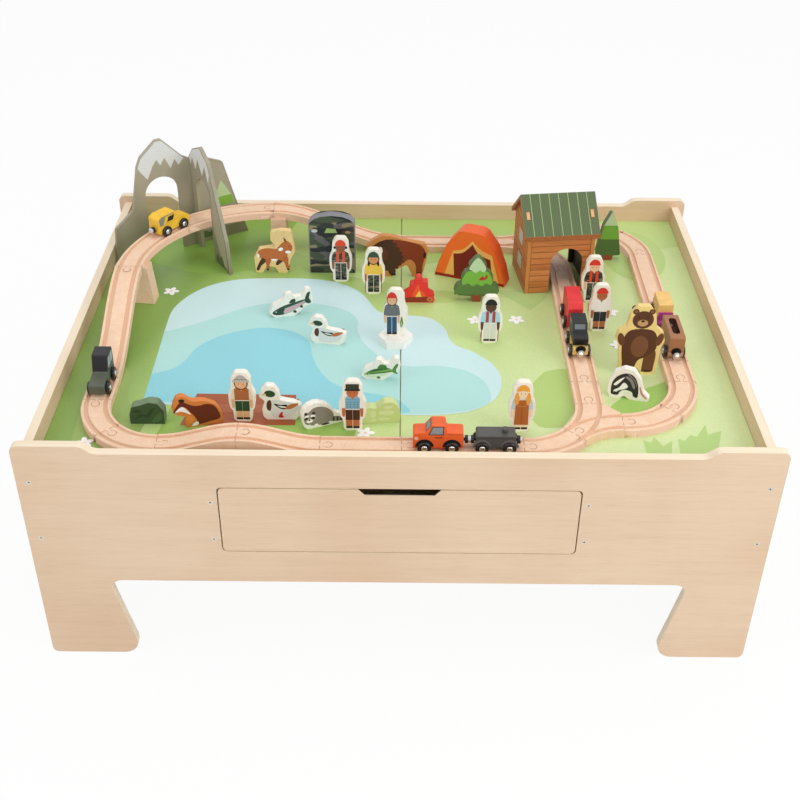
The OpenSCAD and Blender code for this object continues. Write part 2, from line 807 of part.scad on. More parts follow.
module at_drawer_screws() {
    for (s = [-1, 1])
        for (h = drawer_screw_shares)
            translate([
                s * drawer_side_x,
                drawer_back_y - drawer_wall_t / 2,
                drawer_low_z + h * drawer_wall_h
            ]) rotate([0, -s * 90, 0]) children();
}

// Outline of the finger notch, widened by a margin
module notch_outline(top, margin) {
    half = notch_l / 2 + margin;
    floor_z = top - notch_d - margin;
    polygon([
        [-half + notch_slope, floor_z], [half - notch_slope, floor_z],
        [half, top], [half, top + over], [-half, top + over], [-half, top]
    ]);
}

// The notch is rebated from behind, so that only a thin lip shows at the front
module drawer_front() {
    top = drawer_z + drawer_h - drawer_gap;
    color("burlywood") difference() {
        translate([0, -half_d, 0]) upright(panel_t) difference() {
            drawer_outline(drawer_gap);
            notch_outline(top, 0);
        }
        translate([0, -half_d + notch_land, 0]) upright(panel_t) notch_outline(top, notch_fall);
        drawer_floor(floor_fit);
        at_drawer_dowels() dowel_hole(drawer_dowel_l);
    }
}

module drawer_side(s) {
    color("wheat") difference() {
        translate([s > 0 ? drawer_side_x - drawer_wall_t : -drawer_side_x, -inner_y, drawer_low_z])
            cube([drawer_wall_t, drawer_depth, drawer_wall_h]);
        drawer_floor(floor_fit);
        at_drawer_dowels() dowel_hole(drawer_dowel_l);
        at_drawer_screws() screw_hole(drawer_screw_l);
    }
}

module drawer_left_side() {
    drawer_side(-1);
}

module drawer_right_side() {
    drawer_side(1);
}

module drawer_back() {
    l = 2 * (drawer_side_x - drawer_wall_t);
    color("wheat") difference() {
        translate([-l / 2, drawer_back_y - drawer_wall_t, drawer_low_z])
            cube([l, drawer_wall_t, drawer_wall_h]);
        drawer_floor(floor_fit);
        at_drawer_screws() screw_hole(drawer_screw_l);
    }
}

module drawer_bottom() {
    color("wheat") drawer_floor(0);
}

module panel_screws() {
    color("silver") for (face = [-1, 1])
        at_panel_screws(face) screw(screw_l);
}

module panel_dowels() {
    color("tan") for (face = [-1, 1])
        at_panel_dowels(face) dowel(dowel_l);
}

module drawer_screws() {
    color("silver") at_drawer_screws() screw(drawer_screw_l);
}

module drawer_dowels() {
    color("tan") at_drawer_dowels() dowel(drawer_dowel_l);
}

// Cross section of the track without its grooves, chamfered along the top edges
module plank_section() {
    w = track_w / 2;
    polygon([
        [-w, 0], [w, 0], [w, track_t - track_edge], [w - track_edge, track_t],
        [-w + track_edge, track_t], [-w, track_t - track_edge]
    ]);
}

// Cross section of the two wheel grooves, open at the top
module groove_section() {
    for (s = [-1, 1])
        translate([s * gauge / 2 - groove_w / 2, track_t - groove_d])
            square([groove_w, groove_d + over]);
}

// Round head and neck of a track joint, pointing along +X from the track end
module key(play, h) {
    translate([-over, -peg_r / 2 - play, 0]) cube([peg_reach + over, peg_r + 2 * play, h]);
    translate([peg_reach, 0, 0]) cylinder(r = peg_r + play, h = h);
}

module peg() {
    key(0, track_t);
}

module peg_hole() {
    translate([0, 0, -over]) key(peg_fit, track_t + 2 * over);
}

// Moves to the start of a piece: [x, y, heading, height above the board]
module lay(at) {
    translate([at.x, at.y, board_z + at[3]]) rotate(at.z) children();
}

// Moves from the start of a curve to its end; s = 1 turns left and s = -1 turns right
module curve_end(r, s) {
    translate([r * sin(turn), s * r * (1 - cos(turn)), 0]) rotate(s * turn) children();
}

// Sweeps a section along a left curve, stopping short of the next piece
module curve_sweep(r) {
    short = atan(track_joint / r);
    translate([0, r, 0]) rotate(-90) rotate_extrude(angle = turn - short) translate([r, 0]) children();
}

module straight_piece(l) {
    difference() {
        union() {
            sideways(l - track_joint) difference() {
                plank_section();
                groove_section();
            }
            translate([l, 0, 0]) peg();
        }
        peg_hole();
    }
}

module curve_piece(r) {
    difference() {
        union() {
            curve_sweep(r) difference() {
                plank_section();
                groove_section();
            }
            curve_end(r, 1) peg();
        }
        peg_hole();
    }
}

// Points along a switch's left (s = 1) or right (s = -1) branch at radius r, from one angle to another
function branch_arc(r, s, from, to) =
    [for (i = [0:track_steps])
        let (a = from + (to - from) * i / track_steps)
        [r * sin(a), s * (curve_r - r * cos(a))]];

// Two curves that share one stem, with the wedge between them filled. A splitting switch has its
// pegs at the branches, a joining one has its peg at the stem.
module switch_piece(splits) {
    inner = curve_r - track_w / 2;
    outer = curve_r + track_w / 2;
    tip = [outer * sin(turn), curve_r - outer * cos(turn)];
    difference() {
        union() {
            linear_extrude(track_t) polygon(concat(
                branch_arc(inner, -1, 0, turn), [[tip.x, -tip.y], tip], branch_arc(inner, 1, turn, 0)
            ));
            if (splits)
                for (s = [-1, 1])
                    curve_end(curve_r, s) peg();
            else
                rotate(180) peg();
        }
        translate([0, 0, track_t - groove_d]) linear_extrude(groove_d + over)
            for (s = [-1, 1])
                for (r = [curve_r - gauge / 2, curve_r + gauge / 2])
                    polygon(concat(
                        branch_arc(r - groove_w / 2, s, -over_turn, turn + over_turn),
                        branch_arc(r + groove_w / 2, s, turn + over_turn, -over_turn)
                    ));
        if (splits)
            peg_hole();
        else
            for (s = [-1, 1])
                curve_end(curve_r, s) rotate(180) peg_hole();
    }
}

// Side outline of a plank that climbs by h, from a lower edge to an upper edge above it
module climb(l, h, low, high, lean) {
    polygon(concat(
        [for (i = [0:track_steps]) [i * l / track_steps, low + rise(i * l / track_steps, l, h) * lean]],
        [for (i = [track_steps:-1:0]) [i * l / track_steps, high + rise(i * l / track_steps, l, h)]]
    ));
}

module climb_grooves(l, h) {
    for (s = [-1, 1])
        translate([0, s * gauge / 2, 0]) upright_middle(groove_w)
            climb(l, h, track_t - groove_d, track_t + over, 1);
}

module ramp_piece() {
    difference() {
        union() {
            upright_middle(track_w) climb(long_l, ramp_rise, 0, track_t, 1);
            translate([long_l, 0, ramp_rise]) peg();
        }
        climb_grooves(long_l, ramp_rise);
        peg_hole();
    }
}

// One half of the arch bridge, solid down to the board apart from its arch
module bridge_piece() {
    difference() {
        upright_middle(track_w) difference() {
            climb(bridge_l, bridge_rise, 0, track_t, 0);
            translate([bridge_l - arch_back, -arch_sink]) circle(arch_r);
        }
        climb_grooves(bridge_l, bridge_rise);
    }
}

module curved_tracks() {
    color("burlywood") {
        lay([left_x, cabin_line_y, -90, 0]) curve_piece(curve_r);
        lay([left_x, cabin_line_y, -90, 0]) curve_end(curve_r, 1) curve_piece(curve_r);
        lay([split_x, front_y, 0, 0]) curve_piece(curve_r);
        lay([right_x - curve_r, right_y - curve_r, 0, 0]) curve_piece(curve_r);
        lay([right_x - curve_r, right_y - curve_r, 0, 0]) curve_end(curve_r, 1) curve_piece(curve_r);
        lay([right_x, right_y + side_run, 90, 0]) curve_piece(curve_r);
        lay([right_x, right_y + side_run, 90, 0]) curve_end(curve_r, 1) curve_piece(curve_r);
        lay([right_x - curve_r, right_y + side_run + curve_r, 180, 0]) curve_piece(curve_r);
        lay([cabin_line_x, cabin_line_y + side_run, 90, 0]) curve_piece(curve_r);
        lay([high_centre.x, back_y, 180, ramp_rise]) curve_piece(high_curve_r);
        lay([high_centre.x, back_y, 180, ramp_rise])
            curve_end(high_curve_r, 1) curve_piece(high_curve_r);
    }
}

module straight_tracks() {
    color("burlywood") {
        lay([front_x + 2 * straight_l, front_y, 0, 0]) straight_piece(straight_l);
        lay([front_x + 3 * straight_l, front_y, 0, 0]) straight_piece(short_l);
        lay([split_x - straight_l, front_y, 0, 0]) straight_piece(straight_l);
        for (start = [[cabin_line_x, cabin_line_y], [right_x, right_y]]) {
            lay([start.x, start.y, 90, 0]) straight_piece(short_l);
            lay([start.x, start.y + short_l, 90, 0]) straight_piece(straight_l);
            lay([start.x, start.y + short_l + straight_l, 90, 0]) straight_piece(long_l);
        }
        lay([split_x, back_y, 180, 0]) straight_piece(short_l);
        lay([split_x - short_l, back_y, 180, 0]) straight_piece(straight_l);
        lay([left_x, cabin_line_y + short_l, -90, 0]) straight_piece(short_l);
    }
}

module split_switch() {
    color("burlywood") lay([split_x + turn_out, front_y + turn_side, turn, 0]) switch_piece(true);
}

module join_switch() {
    color("burlywood") lay([split_x, back_y, 0, 0]) switch_piece(false);
}

// The back ramp climbs towards -X and the left ramp comes down towards -Y
module ramp_tracks() {
    color("burlywood") {
        lay([ramp_x, back_y, 180, 0]) ramp_piece();
        lay([left_x, high_centre.y, -90, ramp_rise]) difference() {
            union() {
                upright_middle(track_w) climb(long_l, -ramp_rise, 0, track_t, 1);
                translate([long_l, 0, -ramp_rise]) peg();
            }
            climb_grooves(long_l, -ramp_rise);
            peg_hole();
        }
    }
}

module arch_bridge() {
    color("burlywood") {
        lay([front_x, front_y, 0, 0]) difference() {
            union() {
                bridge_piece();
                translate([straight_l, 0, bridge_rise]) peg();
            }
            peg_hole();
        }
        lay([front_x + straight_l, front_y, 0, 0]) difference() {
            union() {
                translate([bridge_l, 0, 0]) mirror([1, 0, 0]) bridge_piece();
                translate([straight_l, 0, 0]) peg();
            }
            translate([0, 0, bridge_rise]) peg_hole();
        }
    }
}

// Tapered block of a riser, before its seat is cut
module riser_block() {
    top = ramp_rise + riser_seat;
    sideways(riser_l) polygon([
        [-riser_w / 2, 0], [riser_w / 2, 0],
        [riser_w / 2 - riser_taper, top], [-riser_w / 2 + riser_taper, top]
    ]);
}

// One block under each end of the elevated curves, with cheeks beside the track in its seat
module track_risers() {
    color("burlywood") {
        difference() {
            lay([high_centre.x - riser_l / 2 + riser_shift, back_y, 0, 0]) difference() {
                riser_block();
                translate([-over, -track_w / 2 - slot_fit, ramp_rise])
                    cube([riser_l + 2 * over, track_w + 2 * slot_fit, riser_seat + over]);
            }
            lay([ramp_x, back_y, 180, 0]) upright_middle(track_w + 2 * slot_fit)
                climb(long_l, ramp_rise, 0, track_t, 1);
        }
        difference() {
            lay(left_riser_at) translate([-riser_l / 2, 0, 0]) riser_block();
            lay([high_centre.x, back_y, 180, ramp_rise]) curve_end(high_curve_r, 1)
                curve_sweep(high_curve_r) translate([-track_w / 2 - slot_fit, 0])
                    square([track_w + 2 * slot_fit, riser_seat + over]);
        }
    }
}

// Moves to a vehicle's place: [x, y, heading, height of the track above the ground track]
module ride(at) {
    translate([at.x, at.y, track_top + at[3]]) rotate(at.z) children();
}

// A body block across the vehicle from a side outline, with bores for both axles
module car_block(shares, l, h, low, w) {
    difference() {
        translate([0, 0, low]) upright_middle(w) polygon(outline(shares, [l, h], car_edge_r));
        for (s = [-1, 1])
            translate([s * wheelbase / 2, 0, axle_z]) rotate([90, 0, 0])
                cylinder(r = axle_r + axle_fit, h = w + 2 * over, center = true);
    }
}

// A coupler at one end of a body: a cap on a short stub, with a magnet in its face
module coupler(l, s) {
    cap_l = coupler_l - stub_l - magnet_t - 2 * joint_gap;
    translate([s * (l / 2 + joint_gap), 0, coupler_z]) rotate([0, s * 90, 0]) {
        color("black") {
            cylinder(r = stub_r, h = stub_l);
            translate([0, 0, stub_l]) cylinder(r = coupler_r, h = cap_l);
        }
        color("silver") translate([0, 0, stub_l + cap_l + joint_gap])
            cylinder(r = magnet_r, h = magnet_t);
    }
}

// One wheel set: an axle across the vehicle with a wheel on each end
module wheel_set(at, x) {
    ride(at) translate([x, 0, axle_z]) rotate([90, 0, 0]) {
        color("silver") cylinder(r = axle_r, h = 2 * (wheel_in - joint_gap), center = true);
        color("black") for (s = [0, 180])
            rotate([s, 0, 0]) translate([0, 0, wheel_in]) rotate_extrude() polygon([
                [0, 0], [wheel_r - wheel_edge, 0], [wheel_r, wheel_edge],
                [wheel_r, wheel_t - wheel_edge], [wheel_r - wheel_edge, wheel_t], [0, wheel_t]
            ]);
    }
}

module front_wheels(at) {
    wheel_set(at, wheelbase / 2);
}

module rear_wheels(at) {
    wheel_set(at, -wheelbase / 2);
}

module pickup_body() {
    ride(pickup_at) {
        color("orangered") car_block(pickup_shares, car_l, pickup_h, car_floor, car_w);
        coupler(car_l, -1);
    }
}

module tender_body() {
    ride(tender_at) {
        color("dimgray") {
            car_block(block_shares, tender_l, tender_h, car_floor, car_w);
            translate([tender_knob_share * tender_l, 0, car_floor + tender_h + joint_gap])
                cylinder(r = knob_r, h = knob_h);
        }
        coupler(tender_l, 1);
        coupler(tender_l, -1);
    }
}

module loco_body() {
    ride(loco_at) {
        color("khaki") car_block(block_shares, loco_l, loco_base_h, car_floor, car_w);
        color("black") translate([0, 0, car_floor + loco_base_h + joint_gap]) upright_middle(car_w)
            polygon(outline(loco_cab_shares, [loco_l, loco_cab_h], car_edge_r));
        coupler(loco_l, 1);
        coupler(loco_l, -1);
    }
}

module carriage_body() {
    ride(carriage_at) {
        color("crimson") car_block(carriage_shares, car_l, carriage_h, car_floor, car_w);
        coupler(car_l, 1);
        coupler(car_l, -1);
    }
}

// A chassis with a block on it that has a long trough with round ends
module hopper_body() {
    ride(hopper_at) {
        color("saddlebrown") car_block(block_shares, car_l, hopper_base_h, car_floor, car_w);
        color("sienna") difference() {
            translate([0, 0, car_floor + hopper_base_h + joint_gap]) upright_middle(car_w)
                polygon(outline(block_shares, [car_l, hopper_h], car_edge_r));
            translate([0, 0, car_floor + hopper_base_h + hopper_h - trough_d]) {
                translate([-(trough_l - trough_w) / 2, -trough_w / 2, 0])
                    cube([trough_l - trough_w, trough_w, trough_d + over]);
                for (s = [-1, 1])
                    translate([s * (trough_l - trough_w) / 2, 0, 0])
                        cylinder(d = trough_w, h = trough_d + over);
            }
        }
        coupler(car_l, 1);
        coupler(car_l, -1);
    }
}

// A flat deck with a stake board at both ends of its crate
module flat_wagon_body() {
    deck_z = car_floor + flat_h + joint_gap;
    stake_x = crate_l / 2 + joint_gap;
    ride(flat_wagon_at) {
        color("mediumvioletred") {
            car_block(block_shares, car_l, flat_h, car_floor, car_w);
            for (s = [-1, 1])
                translate([s > 0 ? stake_x : -stake_x - stake_t, -car_w / 2, deck_z])
                    cube([stake_t, car_w, stake_h]);
        }
        color("wheat") translate([-crate_l / 2, -car_w / 2, deck_z]) cube([crate_l, car_w, crate_h]);
        coupler(car_l, 1);
        coupler(car_l, -1);
    }
}

module green_car_body() {
    ride(green_car_at) {
        color("darkslategray") car_block(green_car_shares, car_l, green_car_h, car_floor, car_w);
        coupler(car_l, -1);
    }
}

module yellow_car_body() {
    ride(yellow_car_at) {
        color("gold") car_block(yellow_car_shares, car_l, yellow_car_h, car_floor, car_w);
        coupler(car_l, -1);
    }
}

module pickup_front_wheels() {
    front_wheels(pickup_at);
}

module pickup_rear_wheels() {
    rear_wheels(pickup_at);
}

module tender_front_wheels() {
    front_wheels(tender_at);
}

module tender_rear_wheels() {
    rear_wheels(tender_at);
}

module loco_front_wheels() {
    front_wheels(loco_at);
}

module loco_rear_wheels() {
    rear_wheels(loco_at);
}

module carriage_front_wheels() {
    front_wheels(carriage_at);
}

module carriage_rear_wheels() {
    rear_wheels(carriage_at);
}

module hopper_front_wheels() {
    front_wheels(hopper_at);
}

module hopper_rear_wheels() {
    rear_wheels(hopper_at);
}

module flat_wagon_front_wheels() {
    front_wheels(flat_wagon_at);
}

module flat_wagon_rear_wheels() {
    rear_wheels(flat_wagon_at);
}

module green_car_front_wheels() {
    front_wheels(green_car_at);
}

module green_car_rear_wheels() {
    rear_wheels(green_car_at);
}

module yellow_car_front_wheels() {
    front_wheels(yellow_car_at);
}

module yellow_car_rear_wheels() {
    rear_wheels(yellow_car_at);
}

// Opening with a round top, centred on x = 0, from below the base line
module arch(w, h) {
    translate([-w / 2, -over]) square([w, h - w / 2 + over]);
    translate([0, h - w / 2]) circle(d = w);
}

// The two mountain boards are halved into each other where they cross
module mountain_boards() {
    slot_w = ply_t + 2 * slot_fit;
    ridge_points = [for (s = ridge_shares) [
        tunnel_r + s.x * (s.x < 0 ? ridge_in : ridge_out),
        s.y * ridge_h,
        s.y > 0 ? board_edge_r : 0
    ]];
    massif_points = [for (s = massif_shares) [
        s.x * massif_l - massif_cross,
        s.y * peak_h,
        s.y > 0 ? board_edge_r : 0
    ]];
    color("gray") translate([high_centre.x, high_centre.y, board_z]) rotate(mountain_angle) {
        upright_middle(ply_t) difference() {
            polygon(soft(ridge_points));
            translate([tunnel_r, 0]) arch(tunnel_w, tunnel_h);
            translate([crossing_r - slot_w / 2, -over]) square([slot_w, slot_h + joint_gap + over]);
        }
        translate([crossing_r + ply_t / 2, 0, 0]) rotate([90, 0, -90]) linear_extrude(ply_t)
            difference() {
                polygon(soft(massif_points));
                translate([massif_arch_at - massif_cross, 0]) arch(massif_arch_w, massif_arch_h);
                translate([-slot_w / 2, slot_h]) square([slot_w, peak_h]);
            }
    }
}

// Moves to the cabin's middle on the play board
module at_cabin() {
    translate([cabin_at.x, cabin_at.y, board_z]) rotate(cabin_turn) children();
}

// Front and back walls stand between two gable walls, whose tabs reach through the roof boards
module cabin_walls() {
    wall_l = cabin_w - 2 * (ply_t + joint_gap);
    run = [cabin_d / 2, cabin_ridge_h - cabin_eave_h];
    lift = ply_t * [sin(roof_slope), cos(roof_slope)];
    near = [for (t = tab_shares) [-cabin_d / 2 + t * run.x, cabin_eave_h + t * run.y]];
    far = [for (t = tab_shares) [cabin_d / 2 - t * run.x, cabin_eave_h + t * run.y]];
    color("sienna") at_cabin() translate([0, -cabin_d / 2, 0]) {
        upright(ply_t) difference() {
            translate([-wall_l / 2, 0]) square([wall_l, cabin_eave_h]);
            translate([cabin_arch_shift, 0]) arch(cabin_arch_w, cabin_arch_h);
        }
        translate([0, cabin_d - ply_t, 0]) upright(ply_t) difference() {
            translate([-wall_l / 2, 0]) square([wall_l, cabin_eave_h]);
            translate([cabin_back_arch_shift, 0]) arch(cabin_back_arch_w, cabin_arch_h);
        }
        for (x = [-cabin_w / 2, cabin_w / 2 - ply_t])
            translate([x, cabin_d / 2, 0]) sideways(ply_t) polygon([
                [-cabin_d / 2, 0], [cabin_d / 2, 0], [cabin_d / 2, cabin_eave_h],
                far[0], far[0] + lift, far[1] + lift, far[1],
                [0, cabin_ridge_h],
                near[1], near[1] + [-lift.x, lift.y], near[0] + [-lift.x, lift.y], near[0],
                [-cabin_d / 2, cabin_eave_h]
            ]);
    }
}

module cabin_roof() {
    fall = tan(roof_slope) * (cabin_d / 2 + roof_front);
    reach = cabin_d / 2 + roof_front;
    slope_l = norm([cabin_d / 2, cabin_ridge_h - cabin_eave_h]);
    tab_l = (tab_shares[1] - tab_shares[0]) * slope_l + 2 * slot_fit;
    color("darkolivegreen") at_cabin() for (s = [-1, 1])
        mirror([0, s > 0 ? 1 : 0, 0]) difference() {
            translate([-roof_l / 2, 0, 0]) sideways(roof_l) polygon([
                [-joint_gap, cabin_ridge_h], [-joint_gap, cabin_ridge_h + roof_rise],
                [-reach, cabin_ridge_h + roof_rise - fall], [-reach, cabin_ridge_h - fall]
            ]);
            for (x = [-1, 1])
                translate([x * (cabin_w - ply_t) / 2, -cabin_d / 2, cabin_eave_h])
                    rotate([roof_slope, 0, 0])
                        translate([-ply_t / 2 - slot_fit, tab_shares[0] * slope_l - slot_fit, -over])
                            cube([ply_t + 2 * slot_fit, tab_l, ply_t + 2 * over]);
        }
}

// A block with a standing outline, at a place on the play board
module standing(at, angle, t) {
    translate([at.x, at.y, board_z]) rotate(angle) upright_middle(t) children();
}

module shelters() {
    color("darkorange") standing(place(tent_place_share), tent_turn, tent_t)
        polygon(soft([for (s = tent_shares) [s.x * tent_w, s.y * tent_h, s.y > 0 ? tent_r : 0]]));
    color("darkslategray") standing(place(blind_place_share), 0, blind_t) polygon(soft([
        [-blind_w / 2, 0, 0], [blind_w / 2, 0, 0], [blind_w / 2, blind_top_share * blind_h, blind_r],
        [0, blind_h, blind_w], [-blind_w / 2, blind_top_share * blind_h, blind_r]
    ]));
}

module trees() {
    color("forestgreen") {
        standing(place(tree_place_share), 0, tree_t)
            polygon(outline(tree_shares, tree_size, soft_r));
        standing(place(pine_place_share), 0, tree_t)
            polygon(outline(pine_shares, pine_size, soft_r / 2));
    }
}

// A campfire, a rock, a bush and a six-sided ice floe
module ground_props() {
    color("red") standing(place(fire_place_share), 0, prop_t)
        polygon(outline(fire_shares, fire_size, soft_r / 2));
    color("darkgreen") standing(place(rock_place_share), 0, prop_t)
        polygon(outline(rock_shares, rock_size, soft_r));
    color("palegreen") standing(place(bush_place_share), bush_turn, prop_t)
        polygon(outline(bush_shares, bush_size, soft_r));
    floe = place(floe_place_share);
    color("white") translate([floe.x, floe.y, board_z]) cylinder(r = floe_r, h = floe_h, $fn = 6);
}

module people_figures() {
    color("linen") {
        for (at = people_places)
            standing(at, 0, figure_t) polygon(outline(person_shares, [person_w, person_h], soft_r));
        translate([0, 0, floe_h + joint_gap]) standing(place(floe_place_share), 0, figure_t)
            polygon(outline(person_shares, [person_w, person_h], soft_r));
    }
}

module animal_figures() {
    color("peru") for (a = animals)
        standing(place(a[2]), a[3], figure_t) polygon(outline(a[0], a[1], soft_r / 2));
}

front_panel();
back_panel();
left_side_panel();
right_side_panel();
play_board_left();
play_board_right();
board_ledges();
centre_beam();
drawer_guide_left();
drawer_guide_right();
drawer_runners();
drawer_front();
drawer_left_side();
drawer_right_side();
drawer_back();
drawer_bottom();
panel_screws();
panel_dowels();
drawer_screws();
drawer_dowels();
curved_tracks();
straight_tracks();
split_switch();
join_switch();
ramp_tracks();
arch_bridge();
track_risers();
pickup_body();
pickup_front_wheels();
pickup_rear_wheels();
tender_body();
tender_front_wheels();
tender_rear_wheels();
loco_body();
loco_front_wheels();
loco_rear_wheels();
carriage_body();
carriage_front_wheels();
carriage_rear_wheels();
hopper_body();
hopper_front_wheels();
hopper_rear_wheels();
flat_wagon_body();
flat_wagon_front_wheels();
flat_wagon_rear_wheels();
green_car_body();
green_car_front_wheels();
green_car_rear_wheels();
yellow_car_body();
yellow_car_front_wheels();
yellow_car_rear_wheels();
mountain_boards();
cabin_walls();
cabin_roof();
shelters();
trees();
ground_props();
people_figures();
animal_figures();
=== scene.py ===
import math

import bmesh
import bpy
from mathutils import Matrix, Vector
from mathutils.geometry import tessellate_polygon


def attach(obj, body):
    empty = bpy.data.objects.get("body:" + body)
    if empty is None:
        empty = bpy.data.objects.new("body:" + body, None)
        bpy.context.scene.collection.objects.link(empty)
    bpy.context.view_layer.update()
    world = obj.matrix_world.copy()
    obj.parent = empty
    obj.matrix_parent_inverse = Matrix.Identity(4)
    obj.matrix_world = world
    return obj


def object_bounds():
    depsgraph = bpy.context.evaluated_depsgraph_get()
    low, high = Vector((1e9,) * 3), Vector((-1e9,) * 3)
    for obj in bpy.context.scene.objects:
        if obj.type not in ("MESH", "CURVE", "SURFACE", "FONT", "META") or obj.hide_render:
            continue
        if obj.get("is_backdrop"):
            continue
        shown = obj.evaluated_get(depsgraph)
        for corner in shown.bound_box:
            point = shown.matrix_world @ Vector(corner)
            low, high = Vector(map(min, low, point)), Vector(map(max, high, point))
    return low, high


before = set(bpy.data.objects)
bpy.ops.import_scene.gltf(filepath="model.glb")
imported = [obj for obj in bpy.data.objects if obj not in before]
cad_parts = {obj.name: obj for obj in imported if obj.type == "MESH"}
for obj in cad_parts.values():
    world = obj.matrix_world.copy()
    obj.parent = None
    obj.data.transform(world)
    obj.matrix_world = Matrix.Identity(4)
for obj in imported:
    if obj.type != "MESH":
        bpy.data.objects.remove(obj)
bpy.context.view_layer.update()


# Panels: the front and back panel and the two side panels that stand between them, cut from
# maple-faced board with routed edges and a clear lacquer, and screwed together at the corners.
MM = 0.001
PANEL_EDGE = 1.6


def linear(code):
    """An sRGB hex value as linear red, green, blue and alpha."""
    parts = [int(code[i:i + 2], 16) / 255 for i in (1, 3, 5)]
    return [p / 12.92 if p <= 0.04045 else ((p + 0.055) / 1.055) ** 2.4 for p in parts] + [1.0]


def add(tree, kind, inputs=None, stops=(), out=None, **settings):
    """A shader node with its settings, values and links; a colour ramp has (position, hex value) stops.

    It gives back the output asked for, or else the first one that the settings leave in use.
    """
    made = tree.nodes.new("ShaderNode" + kind)
    for key, value in settings.items():
        setattr(made, key, value)
    for key, value in (inputs or {}).items():
        if isinstance(value, bpy.types.NodeSocket):
            tree.links.new(value, made.inputs[key])
        else:
            made.inputs[key].default_value = value
    for i, (position, code) in enumerate(stops):
        element = made.color_ramp.elements[i] if i < 2 else made.color_ramp.elements.new(position)
        element.position, element.color = position, linear(code)
    return next(socket for socket in made.outputs if socket.enabled) if out is None else made.outputs[out]


def material(name, roughness, **sockets):
    """A material with values on the sockets of its surface shader, and its node tree."""
    made = bpy.data.materials.new(name)
    made.use_nodes = True
    surface = made.node_tree.nodes["Principled BSDF"]
    surface.inputs["Roughness"].default_value = roughness
    for key, value in sockets.items():
        surface.inputs[key.replace("_", " ")].default_value = value
    return made, made.node_tree


def finished(made, colour, height=None, strength=0.0, depth=0.0):
    """The material with its colour and, with a height pattern, its relief of a strength and a depth in mm."""
    tree = made.node_tree
    surface = tree.nodes["Principled BSDF"]
    tree.links.new(colour, surface.inputs["Base Color"])
    if height is not None:
        relief = add(tree, "Bump", {"Height": height, "Strength": strength, "Distance": depth * MM})
        tree.links.new(relief, surface.inputs["Normal"])
    return made


def dress(node, skin, edge=0.0):
    """Gives a CAD node its material and, with an edge in mm, eased edges."""
    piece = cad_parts[node]
    piece.data.materials.clear()
    piece.data.materials.append(skin)
    if edge:
        weld = piece.modifiers.new("weld", "WELD")
        weld.merge_threshold = 0.001 * MM
        ease = piece.modifiers.new("eased edges", "BEVEL")
        ease.width = edge * MM
        ease.segments = 2
        ease.limit_method = "ANGLE"
        ease.angle_limit = math.radians(35)
        ease.harden_normals = True


def maple(name, along, across):
    """Maple veneer: long faint streaks about 9 mm apart, fine pores 1.5 mm apart, a paler routed edge.

    along is the grain direction and across the direction that the wide faces look in, 0 to 2.
    """
    made, tree = material(name, 0.42, Coat_Weight=0.12, Coat_Roughness=0.3)
    place = add(tree, "TexCoord", out="Object")
    stretch = [1.0, 1.0, 1.0]
    stretch[along] = 0.045
    grain = add(tree, "Mapping", {"Vector": place, "Scale": stretch})
    streak = add(tree, "TexNoise", {"Vector": grain, "Scale": 1 / (9 * MM), "Detail": 3.0, "Roughness": 0.55})
    pore = add(tree, "TexNoise", {"Vector": grain, "Scale": 1 / (1.5 * MM), "Detail": 2.0})
    cloud = add(tree, "TexNoise", {"Vector": place, "Scale": 1 / (260 * MM), "Detail": 2.0})
    tone = add(tree, "ValToRGB", {"Fac": streak}, [(0.25, "#DEC4A8"), (0.5, "#E2C9AD"), (0.75, "#E5CDB2")])
    warm = add(tree, "ValToRGB", {"Fac": cloud}, [(0.35, "#F7EEE6"), (0.65, "#FFFDFA")])
    veneer = add(tree, "Mix", {"Factor": 1.0, "A": tone, "B": warm}, data_type="RGBA", blend_type="MULTIPLY")
    dots = add(tree, "ValToRGB", {"Fac": pore}, [(0.36, "#EADBCB"), (0.5, "#FFFFFF")])
    porous = add(tree, "Mix", {"Factor": 0.2, "A": veneer, "B": dots}, data_type="RGBA", blend_type="MULTIPLY")
    facing = add(tree, "SeparateXYZ", {"Vector": add(tree, "TexCoord", out="Normal")}, out=across)
    flat = add(tree, "Math", {0: facing}, operation="ABSOLUTE")
    is_face = add(tree, "Math", {0: flat, 1: 0.8}, operation="GREATER_THAN")
    core = add(tree, "ValToRGB", {"Fac": streak}, [(0.3, "#EDD9BA"), (0.7, "#F5E4CB")])
    whole = add(tree, "Mix", {"Factor": is_face, "A": core, "B": porous}, data_type="RGBA")
    return finished(made, whole, streak, strength=0.07, depth=0.2)


front_maple = maple("maple veneer, lacquered, grain lengthways", along=0, across=1)
side_maple = maple("maple veneer, lacquered, grain front to back", along=1, across=0)
for node in ("front_panel", "back_panel"):
    dress(node, front_maple, PANEL_EDGE)
for node in ("left_side_panel", "right_side_panel"):
    dress(node, side_maple, PANEL_EDGE)


# Screws and dowels: zinc-plated countersunk screws through the front and back panels and through the
# drawer sides, and turned pine dowels inside the joints.
PANEL_FACE, SLOT_DEPTH = 369.0, 0.5


